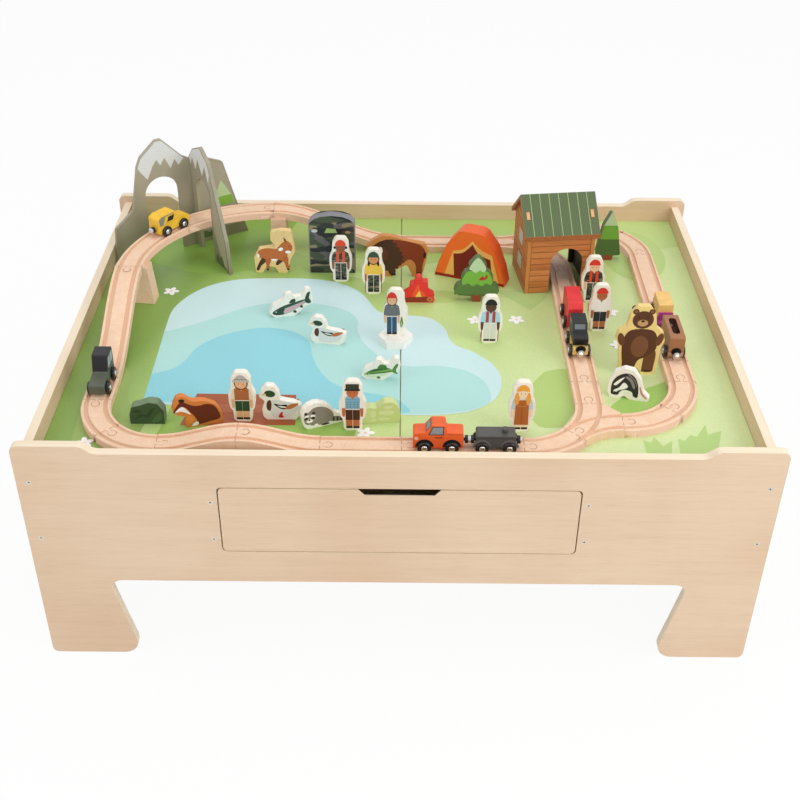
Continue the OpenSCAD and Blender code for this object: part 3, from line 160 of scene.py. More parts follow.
def zinc(name, face=0.0):
    """Zinc plating: a pale warm grey metal with faint wiping marks 0.4 mm apart.

    Painted shade darkens the slots, which lie behind the face, a distance in mm from the middle of the table.
    """
    made, tree = material(name, 0.42, Metallic=1.0)
    place = add(tree, "TexCoord", out="Object")
    marks = add(tree, "TexNoise", {"Vector": place, "Scale": 1 / (0.4 * MM)})
    tone = add(tree, "ValToRGB", {"Fac": marks}, [(0.3, "#D6CEC0"), (0.7, "#F0EAE0")])
    if face:
        away = add(tree, "SeparateXYZ", {"Vector": place}, out="Y")
        away = add(tree, "Math", {0: away}, operation="ABSOLUTE")
        # Painted shade: with a face given, the slot floors behind it are darkened.
        slot = add(tree, "Math", {0: away, 1: (face - SLOT_DEPTH) * MM}, operation="LESS_THAN")
        tone = add(tree, "Mix", {"Factor": slot, "A": tone, "B": linear("#2E2A24")}, data_type="RGBA")
    return finished(made, tone)


steel = zinc("zinc-plated steel")


def sawn(name, pale, dark, along, rough=0.6):
    """Sawn wood: growth streaks about 6 mm apart along one direction, with open pores that dull it."""
    made, tree = material(name, rough)
    stretch = [1.0, 1.0, 1.0]
    stretch[along] = 0.07
    place = add(tree, "Mapping", {"Vector": add(tree, "TexCoord", out="Object"), "Scale": stretch})
    grain = add(tree, "TexNoise", {"Vector": place, "Scale": 1 / (6 * MM), "Detail": 6.0, "Roughness": 0.65})
    tone = add(tree, "ValToRGB", {"Fac": grain}, [(0.3, dark), (0.68, pale)])
    return finished(made, tone, grain, strength=0.25, depth=0.3)


pine = sawn("planed pine, grain front to back", "#E9CFA4", "#D3B07F", along=1)
pine_across = sawn("planed pine, grain sideways", "#E9CFA4", "#D3B07F", along=0)
dress("panel_screws", zinc("zinc-plated steel, painted shade in slots", PANEL_FACE))
dress("drawer_screws", steel)
for node in ("panel_dowels", "drawer_dowels"):
    dress(node, pine)


# Frame under the play board: pine ledges, the beam under the seam, the two drawer guides and the
# runners that carry the drawer, all glued and screwed to the panels.
for node in ("board_ledges", "centre_beam", "drawer_guide_left", "drawer_guide_right", "drawer_runners"):
    dress(node, pine, edge=0.6)


# Drawer: a maple-faced front with a finger notch in its top edge, pine sides and back, and a thin
# plywood bottom held in their grooves.
dress("drawer_front", front_maple, edge=1.2)
dress("drawer_left_side", pine, edge=0.8)
dress("drawer_right_side", pine, edge=0.8)
dress("drawer_back", pine_across, edge=0.8)
dress("drawer_bottom", sawn("birch plywood, sanded", "#EAD6B4", "#DCC298", along=0, rough=0.5))


# Play boards: two thin fibreboards that lie on the ledges, printed with a green meadow, a lake and a
# jetty, and sealed with a satin varnish.
def meadow():
    """Printed meadow: wide soft patches of green about 200 mm across, darker to the far left corner, and darker again
    beside the left side panel, partly print and partly painted shade.
    """
    made, tree = material("printed fibreboard, meadow", 0.38)
    place = add(tree, "TexCoord", out="Object")
    axes = add(tree, "SeparateXYZ", {"Vector": place}).node.outputs
    slide = add(tree, "Math", {0: axes["Y"], 1: axes["X"]}, operation="SUBTRACT")
    shade = add(tree, "MapRange", {"Value": slide, "From Min": -0.55, "From Max": 0.75})
    # Painted shade with darker print: from 300 mm left of the middle out to the left side panel, the green grows
    # darker.
    edge = add(tree, "MapRange", {"Value": axes["X"], "From Min": -0.3, "From Max": -0.44, "To Max": 0.34})
    sunk = add(tree, "Math", {0: shade, 1: edge}, operation="ADD")
    patch = add(tree, "TexNoise", {"Vector": place, "Scale": 1 / (200 * MM), "Detail": 1.0})
    mixed = add(tree, "Math", {0: patch, 1: 0.22, 2: sunk}, operation="MULTIPLY_ADD")
    green = add(tree, "ValToRGB", {"Fac": mixed}, [(0.15, "#D5E5A8"), (0.45, "#C8DE92"), (0.75, "#A9C96E"),
                                                   (1.0, "#86A850")])
    speck = add(tree, "TexNoise", {"Vector": place, "Scale": 1 / (2 * MM), "Detail": 2.0})
    dots = add(tree, "ValToRGB", {"Fac": speck}, [(0.3, "#F4F4F0"), (0.7, "#FFFFFF")])
    whole = add(tree, "Mix", {"Factor": 1.0, "A": green, "B": dots}, data_type="RGBA", blend_type="MULTIPLY")
    return finished(made, whole)


grass = meadow()
for node in ("play_board_left", "play_board_right"):
    dress(node, grass)


def printing_ink():
    """Printing ink under satin varnish: the colour of each printed shape, broken by the sheen of 3 mm grain."""
    made, tree = material("printing ink on wood", 0.42, Specular_IOR_Level=0.3, Coat_Weight=0.06, Coat_Roughness=0.35)
    ink = add(tree, "VertexColor", layer_name="ink")
    place = add(tree, "TexCoord", out="Object")
    grain = add(tree, "TexNoise", {"Vector": place, "Scale": 1 / (3 * MM), "Detail": 3.0})
    tint = add(tree, "ValToRGB", {"Fac": grain}, [(0.3, "#F9F9F9"), (0.7, "#FFFFFF")])
    whole = add(tree, "Mix", {"Factor": 1.0, "A": ink, "B": tint}, data_type="RGBA", blend_type="MULTIPLY")
    return finished(made, whole, grain, strength=0.05, depth=0.1)


ink = printing_ink()


def curve(points, steps=4):
    """A smooth closed line through the points; a point given twice is a sharp corner."""
    line, count = [], len(points)
    for i in range(count):
        a, b, c, d = (Vector(points[(i + k) % count]) for k in (-1, 0, 1, 2))
        if (b - c).length < 1e-6:
            continue
        for s in range(steps):
            t = s / steps
            line.append(b + 0.5 * t * ((c - a) + t * (2 * a - 5 * b + 4 * c - d + t * (3 * b - a - 3 * c + d))))
    return line


def oval(x, y, across, high, turn=0.0, count=18):
    """An ellipse from its middle, width and height."""
    spin = Matrix.Rotation(math.radians(turn), 2)
    ring = [(math.cos(2 * math.pi * i / count), math.sin(2 * math.pi * i / count)) for i in range(count)]
    return [Vector((x, y)) + spin @ Vector((across / 2 * c, high / 2 * s)) for c, s in ring]


def clip(points, axis, limit, side):
    """The part of an outline on one side of a straight line across an axis."""
    kept = []
    for a, b in zip(points, points[1:] + points[:1]):
        a, b = Vector(a), Vector(b)
        inside_a, inside_b = (a[axis] - limit) * side >= 0, (b[axis] - limit) * side >= 0
        if inside_a:
            kept.append(a)
        if inside_a != inside_b:
            kept.append(a.lerp(b, (limit - a[axis]) / (b[axis] - a[axis])))
    return kept


def settle(mesh, name, skins, body):
    """Makes a drawn mesh into a piece with its materials, which rides a body."""
    data = bpy.data.meshes.new(name)
    mesh.to_mesh(data)
    mesh.free()
    for skin in skins:
        data.materials.append(skin)
    piece = bpy.data.objects.new(name, data)
    bpy.context.scene.collection.objects.link(piece)
    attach(piece, body)


INK_LIFT, INK_STEP = 0.12, 0.02


def printed(name, body, faces, skins=()):
    """Ink shapes on flat faces, each a little above the one before.

    A face is (origin, right, up, shapes), and a shape is (hex value or number of another skin, outline in mm).
    """
    mesh = bmesh.new()
    colour = mesh.loops.layers.float_color.new("ink")
    for origin, right, up, shapes in faces:
        out = right.cross(up)
        for layer, (code, points) in enumerate(shapes):
            points = [Vector(p).to_3d() for p in points]
            points = [p for p, q in zip(points, points[1:] + points[:1]) if (p - q).length > 1e-5]
            lift = origin + out * (INK_LIFT + INK_STEP * layer)
            corners = [mesh.verts.new((lift + right * p.x + up * p.y) * MM) for p in points]
            for a, b, c in tessellate_polygon([points]):
                area = (points[b] - points[a]).cross(points[c] - points[a]).z
                if abs(area) < 1e-6:
                    continue
                face = mesh.faces.new([corners[i] for i in ((a, b, c) if area > 0 else (a, c, b))])
                face.material_index = code if isinstance(code, int) else 0
                for loop in face.loops:
                    loop[colour] = linear("#FFFFFF" if isinstance(code, int) else code)
    settle(mesh, name, (ink, *skins), body)


BOARD, SEAM_HALF = 335.4, 0.8
AXIS_X, AXIS_Y, AXIS_Z = Vector((1, 0, 0)), Vector((0, 1, 0)), Vector((0, 0, 1))
hills_and_shade = [
    ("#C0D88A", curve([(-130, 356), (-130, 356), (-150, 215), (-150, 175), (-100, 150),
                       (0, 118), (70, 92), (150, 118), (235, 96), (300, 140), (350, 215), (476, 262), (476, 262),
                       (476, 356), (476, 356)])),
    # Darker green under the mountain: partly print, partly painted shadow of the mountain boards.
    ("#8EB352", curve([(-476, 356), (-476, 356), (-476, 225), (-476, 225), (-400, 180), (-330, 152), (-262, 160),
                       (-212, 190), (-188, 236), (-196, 290), (-180, 356), (-180, 356)])),
    ("#B0CB74", curve([(-180, 356), (-180, 356), (-196, 290), (-188, 236), (-140, 205), (-60, 208),
                       (40, 190), (120, 236), (190, 290), (230, 356), (230, 356)])),
    ("#B3CC78", oval(67, 84, 58, 40)),
    ("#B9D382", oval(393, 227, 106, 176)),
    ("#B4CE78", curve([(190, -158), (190, -158), (203, -138), (215, -126), (244, -123), (252, -160), (252, -205),
                       (222, -263), (222, -263), (190, -262), (176, -215)])),
    ("#A6CB68", curve([(290, -226), (310, -196), (346, -172), (384, -150), (384, -150), (384, -200), (350, -240),
                       (310, -250)])),
    ("#B5D184", [(150, 106), (177, 76), (203, 45), (229, 77), (240, 108)]),
    # Darker green in the left front corner: partly print, partly painted shade of the left side panel.
    ("#97B262", curve([(-425, -110), (-388, -150), (-384, -199), (-366, -235), (-348, -265), (-352, -300),
                       (-385, -320), (-440, -300)])),
    ("#9ABC5C", curve([(-331, -300), (-331, -300), (-323, -261), (-318, -215), (-318, -215), (-50, -215), (-50, -215),
                       (-57, -261), (-66, -310), (-66, -310), (-200, -330)])),
    ("#BAD384", [(-348, -265), (-338, -244), (-321, -240), (-323, -261), (-331, -300), (-354, -300)]),
    ("#B6D182", [(327, -291), (337, -297), (343, -284), (352, -304), (366, -292), (360, -323), (358, -352),
                 (326, -352), (328, -324)]),
    ("#B6D182", [(375, -288), (383, -292), (393, -279), (401, -283), (418, -255), (417, -278), (437, -269),
                 (426, -305), (424, -352), (370, -352), (372, -323)]),
]
lake = [(-360, -208), (-360, -208), (-360, -90), (-360, 0), (-356, 42), (-336, 84), (-303, 117), (-260, 134),
        (-207, 138), (-147, 137), (-107, 127), (-73, 103), (-53, 73), (-40, 43), (-19, 27), (13, 25), (46, 17),
        (68, -13), (73, -40), (84, -61), (107, -77), (133, -107), (145, -140), (143, -174), (130, -203), (100, -227),
        (60, -237), (13, -239), (-53, -236), (-150, -234), (-270, -226), (-345, -216)]
shallows = [(-360, -208), (-360, -208), (-360, -28), (-360, -28), (-330, -14), (-292, 10), (-252, 40), (-212, 57),
            (-166, 61), (-126, 56), (-88, 40), (-68, 13), (-66, -20), (-56, -54), (-39, -82), (-18, -106), (14, -118),
            (54, -116), (94, -127), (120, -154), (128, -186), (124, -208), (98, -225), (60, -234), (13, -236),
            (-53, -233), (-150, -231), (-270, -223), (-345, -213)]
deep = [(-360, -205), (-360, -205), (-360, -144), (-360, -144), (-332, -130), (-316, -106), (-306, -76), (-286, -50),
        (-252, -27), (-212, -15), (-180, -19), (-153, -34), (-137, -57), (-130, -94), (-116, -134), (-92, -167),
        (-54, -184), (-14, -196), (6, -214), (10, -234), (-53, -230), (-150, -228), (-270, -220), (-345, -210)]
jetty = [(-287, -192), (-147, -193), (-143, -265), (-300, -267)]
water = [("#CDE9EA", curve(lake)), ("#B4E1DC", curve(shallows)), ("#93D5DF", curve(deep)), ("#A65832", jetty),
         ("#98502F", [(-291, -214), (-146, -215), (-146, -216), (-291, -215)]),
         ("#B06440", [(-292, -217), (-146, -217), (-145, -236), (-296, -236)]),
         ("#8E4728", [(-296, -238), (-145, -239), (-145, -240), (-297, -239)])]
PETALS, PETAL_OUT, PETAL_LONG, PETAL_WIDE, HEART = 5, 7, 12, 8, 5
flowers = []
for x, y, turn in ((-369, 93, 0), (115, 13, 20), (179, 15, 50), (329, 41, 10), (327, -55, 35), (-47, -281, 0),
                   (-421, -309, 30)):
    for petal in range(PETALS):
        lean = turn + petal * 360 / PETALS
        middle = Vector((x, y)) + PETAL_OUT * Vector((math.cos(math.radians(lean)), math.sin(math.radians(lean))))
        flowers.append(("#FFFDFA", oval(*middle, PETAL_LONG, PETAL_WIDE, lean, 12)))
    flowers.append(("#F2D7D0", oval(x, y, HEART, HEART, count=10)))
for half, side in (("left", -1), ("right", 1)):
    shapes = [(code, clip(list(points), 0, SEAM_HALF * side, side)) for code, points in hills_and_shade + water + flowers]
    printed("board_print_" + half, "root",
            [(AXIS_Z * BOARD, AXIS_X, AXIS_Y, [(code, points) for code, points in shapes if len(points) > 2])])


# Railway: beech track pieces with two milled wheel grooves, joined by round pegs, among them two
# ramps, an arch bridge and the risers under the elevated curve.
TRACK, MARKED_FROM = 347.4, 1.4
BACK_RAMP, LEFT_RAMP, RAMP_RISE = (2, -214), (-171, 45), 60
BRIDGE_CREST, BRIDGE_HALF, BRIDGE_RISE, BRIDGE_BEHIND = -214, 108, 20, -290


def beech():
    """Oiled beech: warm pinkish tan with short flecks 1.2 mm wide and slow streaks 14 mm apart.

    The milled groove floors carry a painted shade that makes them deeper in colour. They lie 3 mm under the running
    surface, whose height follows the two ramps at the back and left and the arch bridge at the front.
    """
    made, tree = material("beech, oiled, painted shade in grooves", 0.5)
    place = add(tree, "TexCoord", out="Object")
    slow = add(tree, "TexNoise", {"Vector": place, "Scale": 1 / (14 * MM), "Detail": 4.0, "Roughness": 0.6})
    fleck = add(tree, "TexNoise", {"Vector": place, "Scale": 1 / (1.2 * MM), "Detail": 1.0})
    tone = add(tree, "ValToRGB", {"Fac": slow}, [(0.3, "#ECC7A8"), (0.55, "#F1CEB0"), (0.75, "#F4D5BB")])
    dots = add(tree, "ValToRGB", {"Fac": fleck}, [(0.34, "#EBCFB6"), (0.46, "#FFFFFF")])
    plain = add(tree, "Mix", {"Factor": 0.45, "A": tone, "B": dots}, data_type="RGBA", blend_type="MULTIPLY")
    axes = add(tree, "SeparateXYZ", {"Vector": place}).node.outputs
    back = add(tree, "MapRange", {"Value": axes["X"], "From Min": BACK_RAMP[0] * MM, "From Max": BACK_RAMP[1] * MM})
    left = add(tree, "MapRange", {"Value": axes["Y"], "From Min": LEFT_RAMP[0] * MM, "From Max": LEFT_RAMP[1] * MM})
    climb = add(tree, "Math", {0: back, 1: left}, operation="MINIMUM")
    eased = add(tree, "MapRange", {"Value": climb, "To Max": RAMP_RISE * MM}, interpolation_type="SMOOTHSTEP")
    from_crest = add(tree, "Math", {0: axes["X"], 1: -BRIDGE_CREST * MM}, operation="ADD")
    aside = add(tree, "Math", {0: from_crest}, operation="ABSOLUTE")
    arch = add(tree, "MapRange", {"Value": aside, "From Min": BRIDGE_HALF * MM, "From Max": 0.0,
                                  "To Max": BRIDGE_RISE * MM}, interpolation_type="SMOOTHSTEP")
    in_front = add(tree, "Math", {0: axes["Y"], 1: BRIDGE_BEHIND * MM}, operation="LESS_THAN")
    bridge = add(tree, "Math", {0: arch, 1: in_front, 2: eased}, operation="MULTIPLY_ADD")
    top = add(tree, "Math", {0: bridge, 1: TRACK * MM}, operation="ADD")
    sunk = add(tree, "Math", {0: top, 1: axes["Z"]}, operation="SUBTRACT")
    # Painted shade: upward faces more than 1.4 mm under the running surface, the groove floors, are tinted darker.
    below = add(tree, "Math", {0: sunk, 1: MARKED_FROM * MM}, operation="GREATER_THAN")
    upward = add(tree, "SeparateXYZ", {"Vector": add(tree, "TexCoord", out="Normal")}, out="Z")
    flat = add(tree, "Math", {0: upward, 1: 0.5}, operation="GREATER_THAN")
    groove_shade = add(tree, "Math", {0: below, 1: flat}, operation="MULTIPLY")
    whole = add(tree, "Mix", {"Factor": groove_shade, "A": plain, "B": linear("#E2BA9A")}, data_type="RGBA")
    return finished(made, whole, fleck, strength=0.08, depth=0.1)


track_beech = beech()
for node in ("curved_tracks", "straight_tracks", "split_switch", "join_switch", "ramp_tracks", "arch_bridge",
             "track_risers"):
    dress(node, track_beech, edge=0.5)


# Joints of the railway: where a round peg sits in the next piece, the gap is marked with a thin brown line of painted
# shadow round the peg and across the track.
PEG, PEG_AT, GROOVE, GROOVE_HALF, TRACK_HALF = 5.7, 11.0, 13.0, 3.2, 19.4
RING_HALF, LINE_HALF, LINE_FROM = 0.45, 0.4, 3.0
JOINT_SHADOW = "#B0805E"
# Each joint is its place, its heading in degrees and its height over the ground track.
joints = [
    (-420, -225, -90, 0), (-391.3, -294.3, -45, 0), (-322, -323, 0, 0), (-214, -323, 0, BRIDGE_RISE),
    (-106, -323, 0, 0), (2, -323, 0, 0), (56, -323, 0, 0), (164, -323, 0, 0), (233.3, -294.3, 45, 0),
    (262, -225, 90, 0), (302.6, -265.6, 0, 0), (371.9, -236.9, 45, 0), (400.6, -167.6, 90, 0), (400.6, -113.6, 90, 0),
    (400.6, -5.6, 90, 0), (400.6, 210.4, 90, 0), (371.9, 279.7, 135, 0), (302.6, 308.4, 180, 0),
    (233.3, 279.7, 225, 0), (233.3, 222.3, 135, 0), (262, -171, 90, 0), (262, -63, 90, 0), (262, 153, 90, 0),
    (164, 251, 180, 0), (110, 251, 180, 0), (2, 251, 180, 0), (-214, 251, 180, RAMP_RISE),
    (-359.7, 190.7, 225, RAMP_RISE), (-420, 45, -90, RAMP_RISE), (-420, -171, -90, 0),
]
bends = [math.radians(-128 + 16 * i) for i in range(17)]
ring = [(PEG_AT + (PEG + RING_HALF) * math.cos(t), (PEG + RING_HALF) * math.sin(t)) for t in bends]
ring += [(PEG_AT + (PEG - RING_HALF) * math.cos(t), (PEG - RING_HALF) * math.sin(t)) for t in reversed(bends)]
# Painted shadow of the joint gaps: a thin brown ring round each peg and bars across the track.
shadow_lines = [(JOINT_SHADOW, ring)]
for s in (-1, 1):
    for a, b in ((LINE_FROM, GROOVE - GROOVE_HALF), (GROOVE + GROOVE_HALF, TRACK_HALF)):
        shadow_lines.append((JOINT_SHADOW, [(-LINE_HALF, s * a), (LINE_HALF, s * a), (LINE_HALF, s * b), (-LINE_HALF, s * b)]))
marks = []
for x, y, heading, lift in joints:
    spin = Matrix.Rotation(math.radians(heading), 3, "Z")
    marks.append((Vector((x, y, TRACK + lift)), spin @ AXIS_X, spin @ AXIS_Y, shadow_lines))
printed("joint_shadows", "root", marks)


# Vehicles: eight small wooden vehicles, each a painted block with printed windows, black plastic
# couplers with steel magnets in their faces, and two wheel sets on steel axles.
AXLE_UP, AXLE_AHEAD, HUB_OUT, FLANK = 6.3, 18, 15.4, 11
MAGNET_OUT, PAINT_EDGE = 6.5, 0.8
VEHICLES = {
    "pickup": ((49.79, -323.0, 0), 180, 66), "tender": ((125.29, -323.0, 0), 180, 52),
    "loco": ((262.0, -79.09, 0), -90, 60), "carriage": ((262.0, 0.41, 0), -90, 66),
    "hopper": ((400.59, -79.14, 0), -90, 66), "flat_wagon": ((400.59, 3.36, 0), -90, 66),
    "green_car": ((-420.0, -186.98, 0), -90, 66), "yellow_car": ((-375.78, 171.4, 60), 52, 66),
}


def ahead_at(heading):
    """The level direction at an angle in degrees from the table's right."""
    return Vector((math.cos(math.radians(heading)), math.sin(math.radians(heading)), 0))


def painted(name, vehicle, coat, above=None, height=0.0, within=100.0):
    """Sprayed paint on wood: even colour with a fine orange peel 1 mm across, and worn thin by handling.

    The couplers past the block's ends are black plastic with bright steel faces. A second colour
    can lie above a height over the track, within a distance of the block's middle.
    """
    made, tree = material(name, 0.42, Specular_IOR_Level=0.3, Coat_Weight=0.08, Coat_Roughness=0.25)
    (x, y, z), heading, length = VEHICLES[vehicle]
    ahead = ahead_at(heading)
    place = add(tree, "TexCoord", out="Object")
    along = add(tree, "VectorMath", {0: place, 1: ahead}, operation="DOT_PRODUCT")
    offset = add(tree, "Math", {0: along, 1: ahead.dot(Vector((x, y, 0))) * MM}, operation="SUBTRACT")
    reach = add(tree, "Math", {0: offset}, operation="ABSOLUTE")
    peel = add(tree, "TexNoise", {"Vector": place, "Scale": 1 / (1.0 * MM), "Detail": 2.0})
    worn = add(tree, "TexNoise", {"Vector": place, "Scale": 1 / (12 * MM), "Detail": 4.0})
    tint = add(tree, "ValToRGB", {"Fac": worn}, [(0.3, "#EFEFEF"), (0.65, "#FFFFFF")])
    colour = linear(coat)
    if above:
        level = add(tree, "SeparateXYZ", {"Vector": place}, out="Z")
        over = add(tree, "Math", {0: level, 1: (TRACK + z + height) * MM}, operation="GREATER_THAN")
        near = add(tree, "Math", {0: reach, 1: within * MM}, operation="LESS_THAN")
        top = add(tree, "Math", {0: over, 1: near}, operation="MULTIPLY")
        colour = add(tree, "Mix", {"Factor": top, "A": colour, "B": linear(above)}, data_type="RGBA")
    coated = add(tree, "Mix", {"Factor": 1.0, "A": colour, "B": tint}, data_type="RGBA", blend_type="MULTIPLY")
    cap = add(tree, "Math", {0: reach, 1: (length / 2 + 0.02) * MM}, operation="GREATER_THAN")
    magnet = add(tree, "Math", {0: reach, 1: (length / 2 + MAGNET_OUT) * MM}, operation="GREATER_THAN")
    capped = add(tree, "Mix", {"Factor": cap, "A": coated, "B": linear("#1C1C1E")}, data_type="RGBA")
    whole = add(tree, "Mix", {"Factor": magnet, "A": capped, "B": linear("#C9CBCC")}, data_type="RGBA")
    tree.links.new(magnet, tree.nodes["Principled BSDF"].inputs["Metallic"])
    return finished(made, whole, peel, strength=0.08, depth=0.1)


# Each vehicle has one colour, or a second one with its height over the track and its reach from the middle.
for vehicle, name, *coats in (
    ("pickup", "orange paint on beech", "#F0662F"),
    ("tender", "graphite paint on beech", "#55524F"),
    ("loco", "straw and black paint on beech", "#E8C374", "#161618", 17.0),
    ("carriage", "red paint on beech", "#E4353A"),
    ("hopper", "brown stain on beech", "#C08B6B", "#A8714F", 13.0),
    ("flat_wagon", "magenta and straw paint on beech", "#B23C8A", "#F3C678", 12.0, 21.03),
    ("green_car", "olive paint on beech", "#585D50", "#252123", 41.4),
    ("yellow_car", "yellow paint on beech", "#FFC93C"),
):
    dress(vehicle + "_body", painted(name, vehicle, *coats), PAINT_EDGE)


def turned(name, profile, axes, skin, body):
    """A turned shape from a (radius, height) profile in mm, set on each (foot, direction) axis."""
    mesh = bmesh.new()
    count = 28
    for foot, way in axes:
        stand = Matrix.Translation(foot) @ way.to_track_quat("Z", "Y").to_matrix().to_4x4()
        rings = [[mesh.verts.new(stand @ Vector((r * math.cos(2 * math.pi * i / count),
                                                 r * math.sin(2 * math.pi * i / count), h)) * MM)
                  for i in range(count)] for r, h in profile]
        for lower, upper in zip(rings, rings[1:]):
            for i in range(count):
                mesh.faces.new((lower[i], lower[(i + 1) % count], upper[(i + 1) % count], upper[i]))
        mesh.faces.new(rings[-1])
        mesh.faces.new(rings[0][::-1])
    for face in mesh.faces:
        face.smooth = len(face.verts) == 4
    settle(mesh, name, (skin,), body)


def moulded():
    """Black ABS: deep gloss with a faint moulding texture 0.6 mm across."""
    made, tree = material("black ABS, moulded", 0.3, IOR=1.54)
    bloom = add(tree, "TexNoise", {"Vector": add(tree, "TexCoord", out="Object"), "Scale": 1 / (0.6 * MM)})
    return finished(made, add(tree, "ValToRGB", {"Fac": bloom}, [(0.3, "#161617"), (0.7, "#242426")]))


def plated():
    """Bright nickel plating on the hub caps, with faint smears 2 mm across."""
    made, tree = material("bright nickel plating", 0.18, Metallic=1.0)
    smear = add(tree, "TexNoise", {"Vector": add(tree, "TexCoord", out="Object"), "Scale": 1 / (2 * MM),
                                   "Detail": 3.0})
    return finished(made, add(tree, "ValToRGB", {"Fac": smear}, [(0.3, "#C4C2BE"), (0.7, "#E8E6E2")]))


abs_black, nickel = moulded(), plated()
hub_profile = [(4.3, 0.0), (4.3, 0.4), (3.9, 0.9), (2.6, 1.5), (1.2, 1.75), (0.4, 1.8)]
for vehicle, ((x, y, z), heading, _) in VEHICLES.items():
    ahead = ahead_at(heading)
    left = AXIS_Z.cross(ahead)
    for end, sign in (("front", 1), ("rear", -1)):
        node = vehicle + "_" + end + "_wheels"
        dress(node, abs_black)
        middle = Vector((x, y, TRACK + z + AXLE_UP)) + ahead * AXLE_AHEAD * sign
        turned(vehicle + "_" + end + "_hubs", hub_profile, [(middle + left * HUB_OUT * s, left * s) for s in (1, -1)],
               nickel, node)


def slab(x0, y0, x1, y1):
    """A rectangle from two corners."""
    return [(x0, y0), (x1, y0), (x1, y1), (x0, y1)]


def resized(shapes, wide, high=1.0, shift=0.0):
    """Ink shapes with their widths and heights taken by a share, and then moved sideways in mm."""
    return [(code, [(Vector(p).x * wide + shift, Vector(p).y * high) for p in points]) for code, points in shapes]


def flanks(vehicle, shapes):
    """Both long sides of a vehicle: shapes in mm ahead of its middle and above the track."""
    (x, y, z), heading, _ = VEHICLES[vehicle]
    ahead = ahead_at(heading)
    left, middle = AXIS_Z.cross(ahead), Vector((x, y, TRACK + z))
    return [(middle + left * FLANK, -ahead, AXIS_Z, resized(shapes, -1)),
            (middle - left * FLANK, ahead, AXIS_Z, shapes)]


def crosswise(vehicle, low, high, shapes):
    """A face across a vehicle, from its lower to its upper edge in the side view, with x to the vehicle's left."""
    (x, y, z), heading, _ = VEHICLES[vehicle]
    ahead = ahead_at(heading)
    foot = Vector((x, y, TRACK + z)) + ahead * low[0] + AXIS_Z * low[1]
    up = (ahead * (high[0] - low[0]) + AXIS_Z * (high[1] - low[1])).normalized()
    return (foot, AXIS_Z.cross(ahead), up, shapes)


def fenders(code):
    """A painted arch over each of the two wheels."""
    outer, inner = 12.2, 8.0
    turns = [math.pi * i / 12 for i in range(13)]
    arches = []
    for axle in (-AXLE_AHEAD, AXLE_AHEAD):
        arch = [(axle + outer * math.cos(t), AXLE_UP + outer * math.sin(t)) for t in turns]
        arch += [(axle + inner * math.cos(t), AXLE_UP + inner * math.sin(t)) for t in reversed(turns)]
        arches.append((code, arch))
    return arches


GLASS, FRAME = "#8E9396", "#2A2624"
pickup_side = fenders("#221E1D") + [
    (FRAME, [(13.2, 25.4), (7.6, 38.9), (-7.0, 38.9), (-6.8, 25.4)]),
    (GLASS, [(11.4, 26.6), (6.9, 37.7), (-5.9, 37.7), (-5.7, 26.6)]),
    (FRAME, slab(-5.4, 20.6, 3.8, 22.0)), ("#F2B8A6", oval(28.6, 20.0, 5.4, 5.4)),
    ("#B93A1E", slab(-30, 26.2, -12, 26.8)),
]
pickup_screen = [(FRAME, slab(-8.6, 1.6, 8.6, 12.6)), (GLASS, slab(-7.6, 2.6, 7.6, 11.6))]
printed("pickup_print", "pickup", flanks("pickup", pickup_side) + [
    crosswise("pickup", (17.2, 28.5), (8.6, 40.0), pickup_screen)])
# The tender's wheel arches are printed a lighter grey than its body: a painted highlight along the arches.
tender_side = fenders("#6C6966") + [("#34322F", slab(-23, 20.6, 23, 21.2))]
printed("tender_print", "tender", flanks("tender", tender_side))
loco_side = [
    (GLASS, curve([(-23, 33), (-23, 33), (-10, 33), (-10, 33), (-9, 37), (-10, 40), (-20, 40.4), (-23, 39)])),
    ("#C9A052", slab(-27, 14.6, 27, 15.2)), ("#6A6D70", slab(6, 27, 22, 27.8)),
]
printed("loco_print", "loco", flanks("loco", loco_side) + [
    crosswise("loco", (6.0, 32.0), (1.2, 42.0), [("#6F777B", slab(-7.6, 2.0, 7.6, 9.4))]),
    crosswise("loco", (30.02, 6.0), (30.02, 17.0), [("#1D1B1A", oval(0, 8.6, 15, 13))])])
printed("hopper_print", "hopper", [
    crosswise("hopper", (33.02, 5.0), (33.02, 13.0), [("#1D1B1A", oval(0, 9.4, 15, 13))])])
green_side = fenders("#23241F") + [
    ("#2B2A2A", [(0.2, 23.6), (-5.4, 41.6), (-29.2, 41.6), (-31.4, 38.6), (-31.4, 23.6)]),
    ("#A9B6BC", [(-2.0, 25.4), (-6.4, 39.4), (-15.6, 39.4), (-15.6, 25.4)]),
    ("#A9B6BC", slab(-28.6, 25.4, -17.8, 39.4)),
    ("#23241F", slab(-8, 19.6, -3, 20.8)),
]
printed("green_car_print", "green_car", flanks("green_car", green_side) + [
    crosswise("green_car", (2.64, 20.8), (-5.28, 44.0), [("#201D1F", slab(-10.4, 1.4, 10.4, 23.0))])])
yellow_side = [
    ("#8D8B86", [(-29.4, 17.6), (-22.4, 17.6), (-17.0, 30.6), (1.0, 30.6), (0.2, 32.4), (-25.6, 32.4),
                 (-30.6, 28.6)]),
    (FRAME, [(-14.2, 20.8), (-1.6, 20.8), (2.0, 28.8), (-10.8, 28.8)]), ("#C4932A", slab(-20, 18.6, 12, 19.1)),
]
printed("yellow_car_print", "yellow_car", flanks("yellow_car", yellow_side) + [
    crosswise("yellow_car", (13.2, 20.2), (3.96, 34.0), [("#8C8B84", slab(-9.4, 1.6, 9.4, 14.8))])])


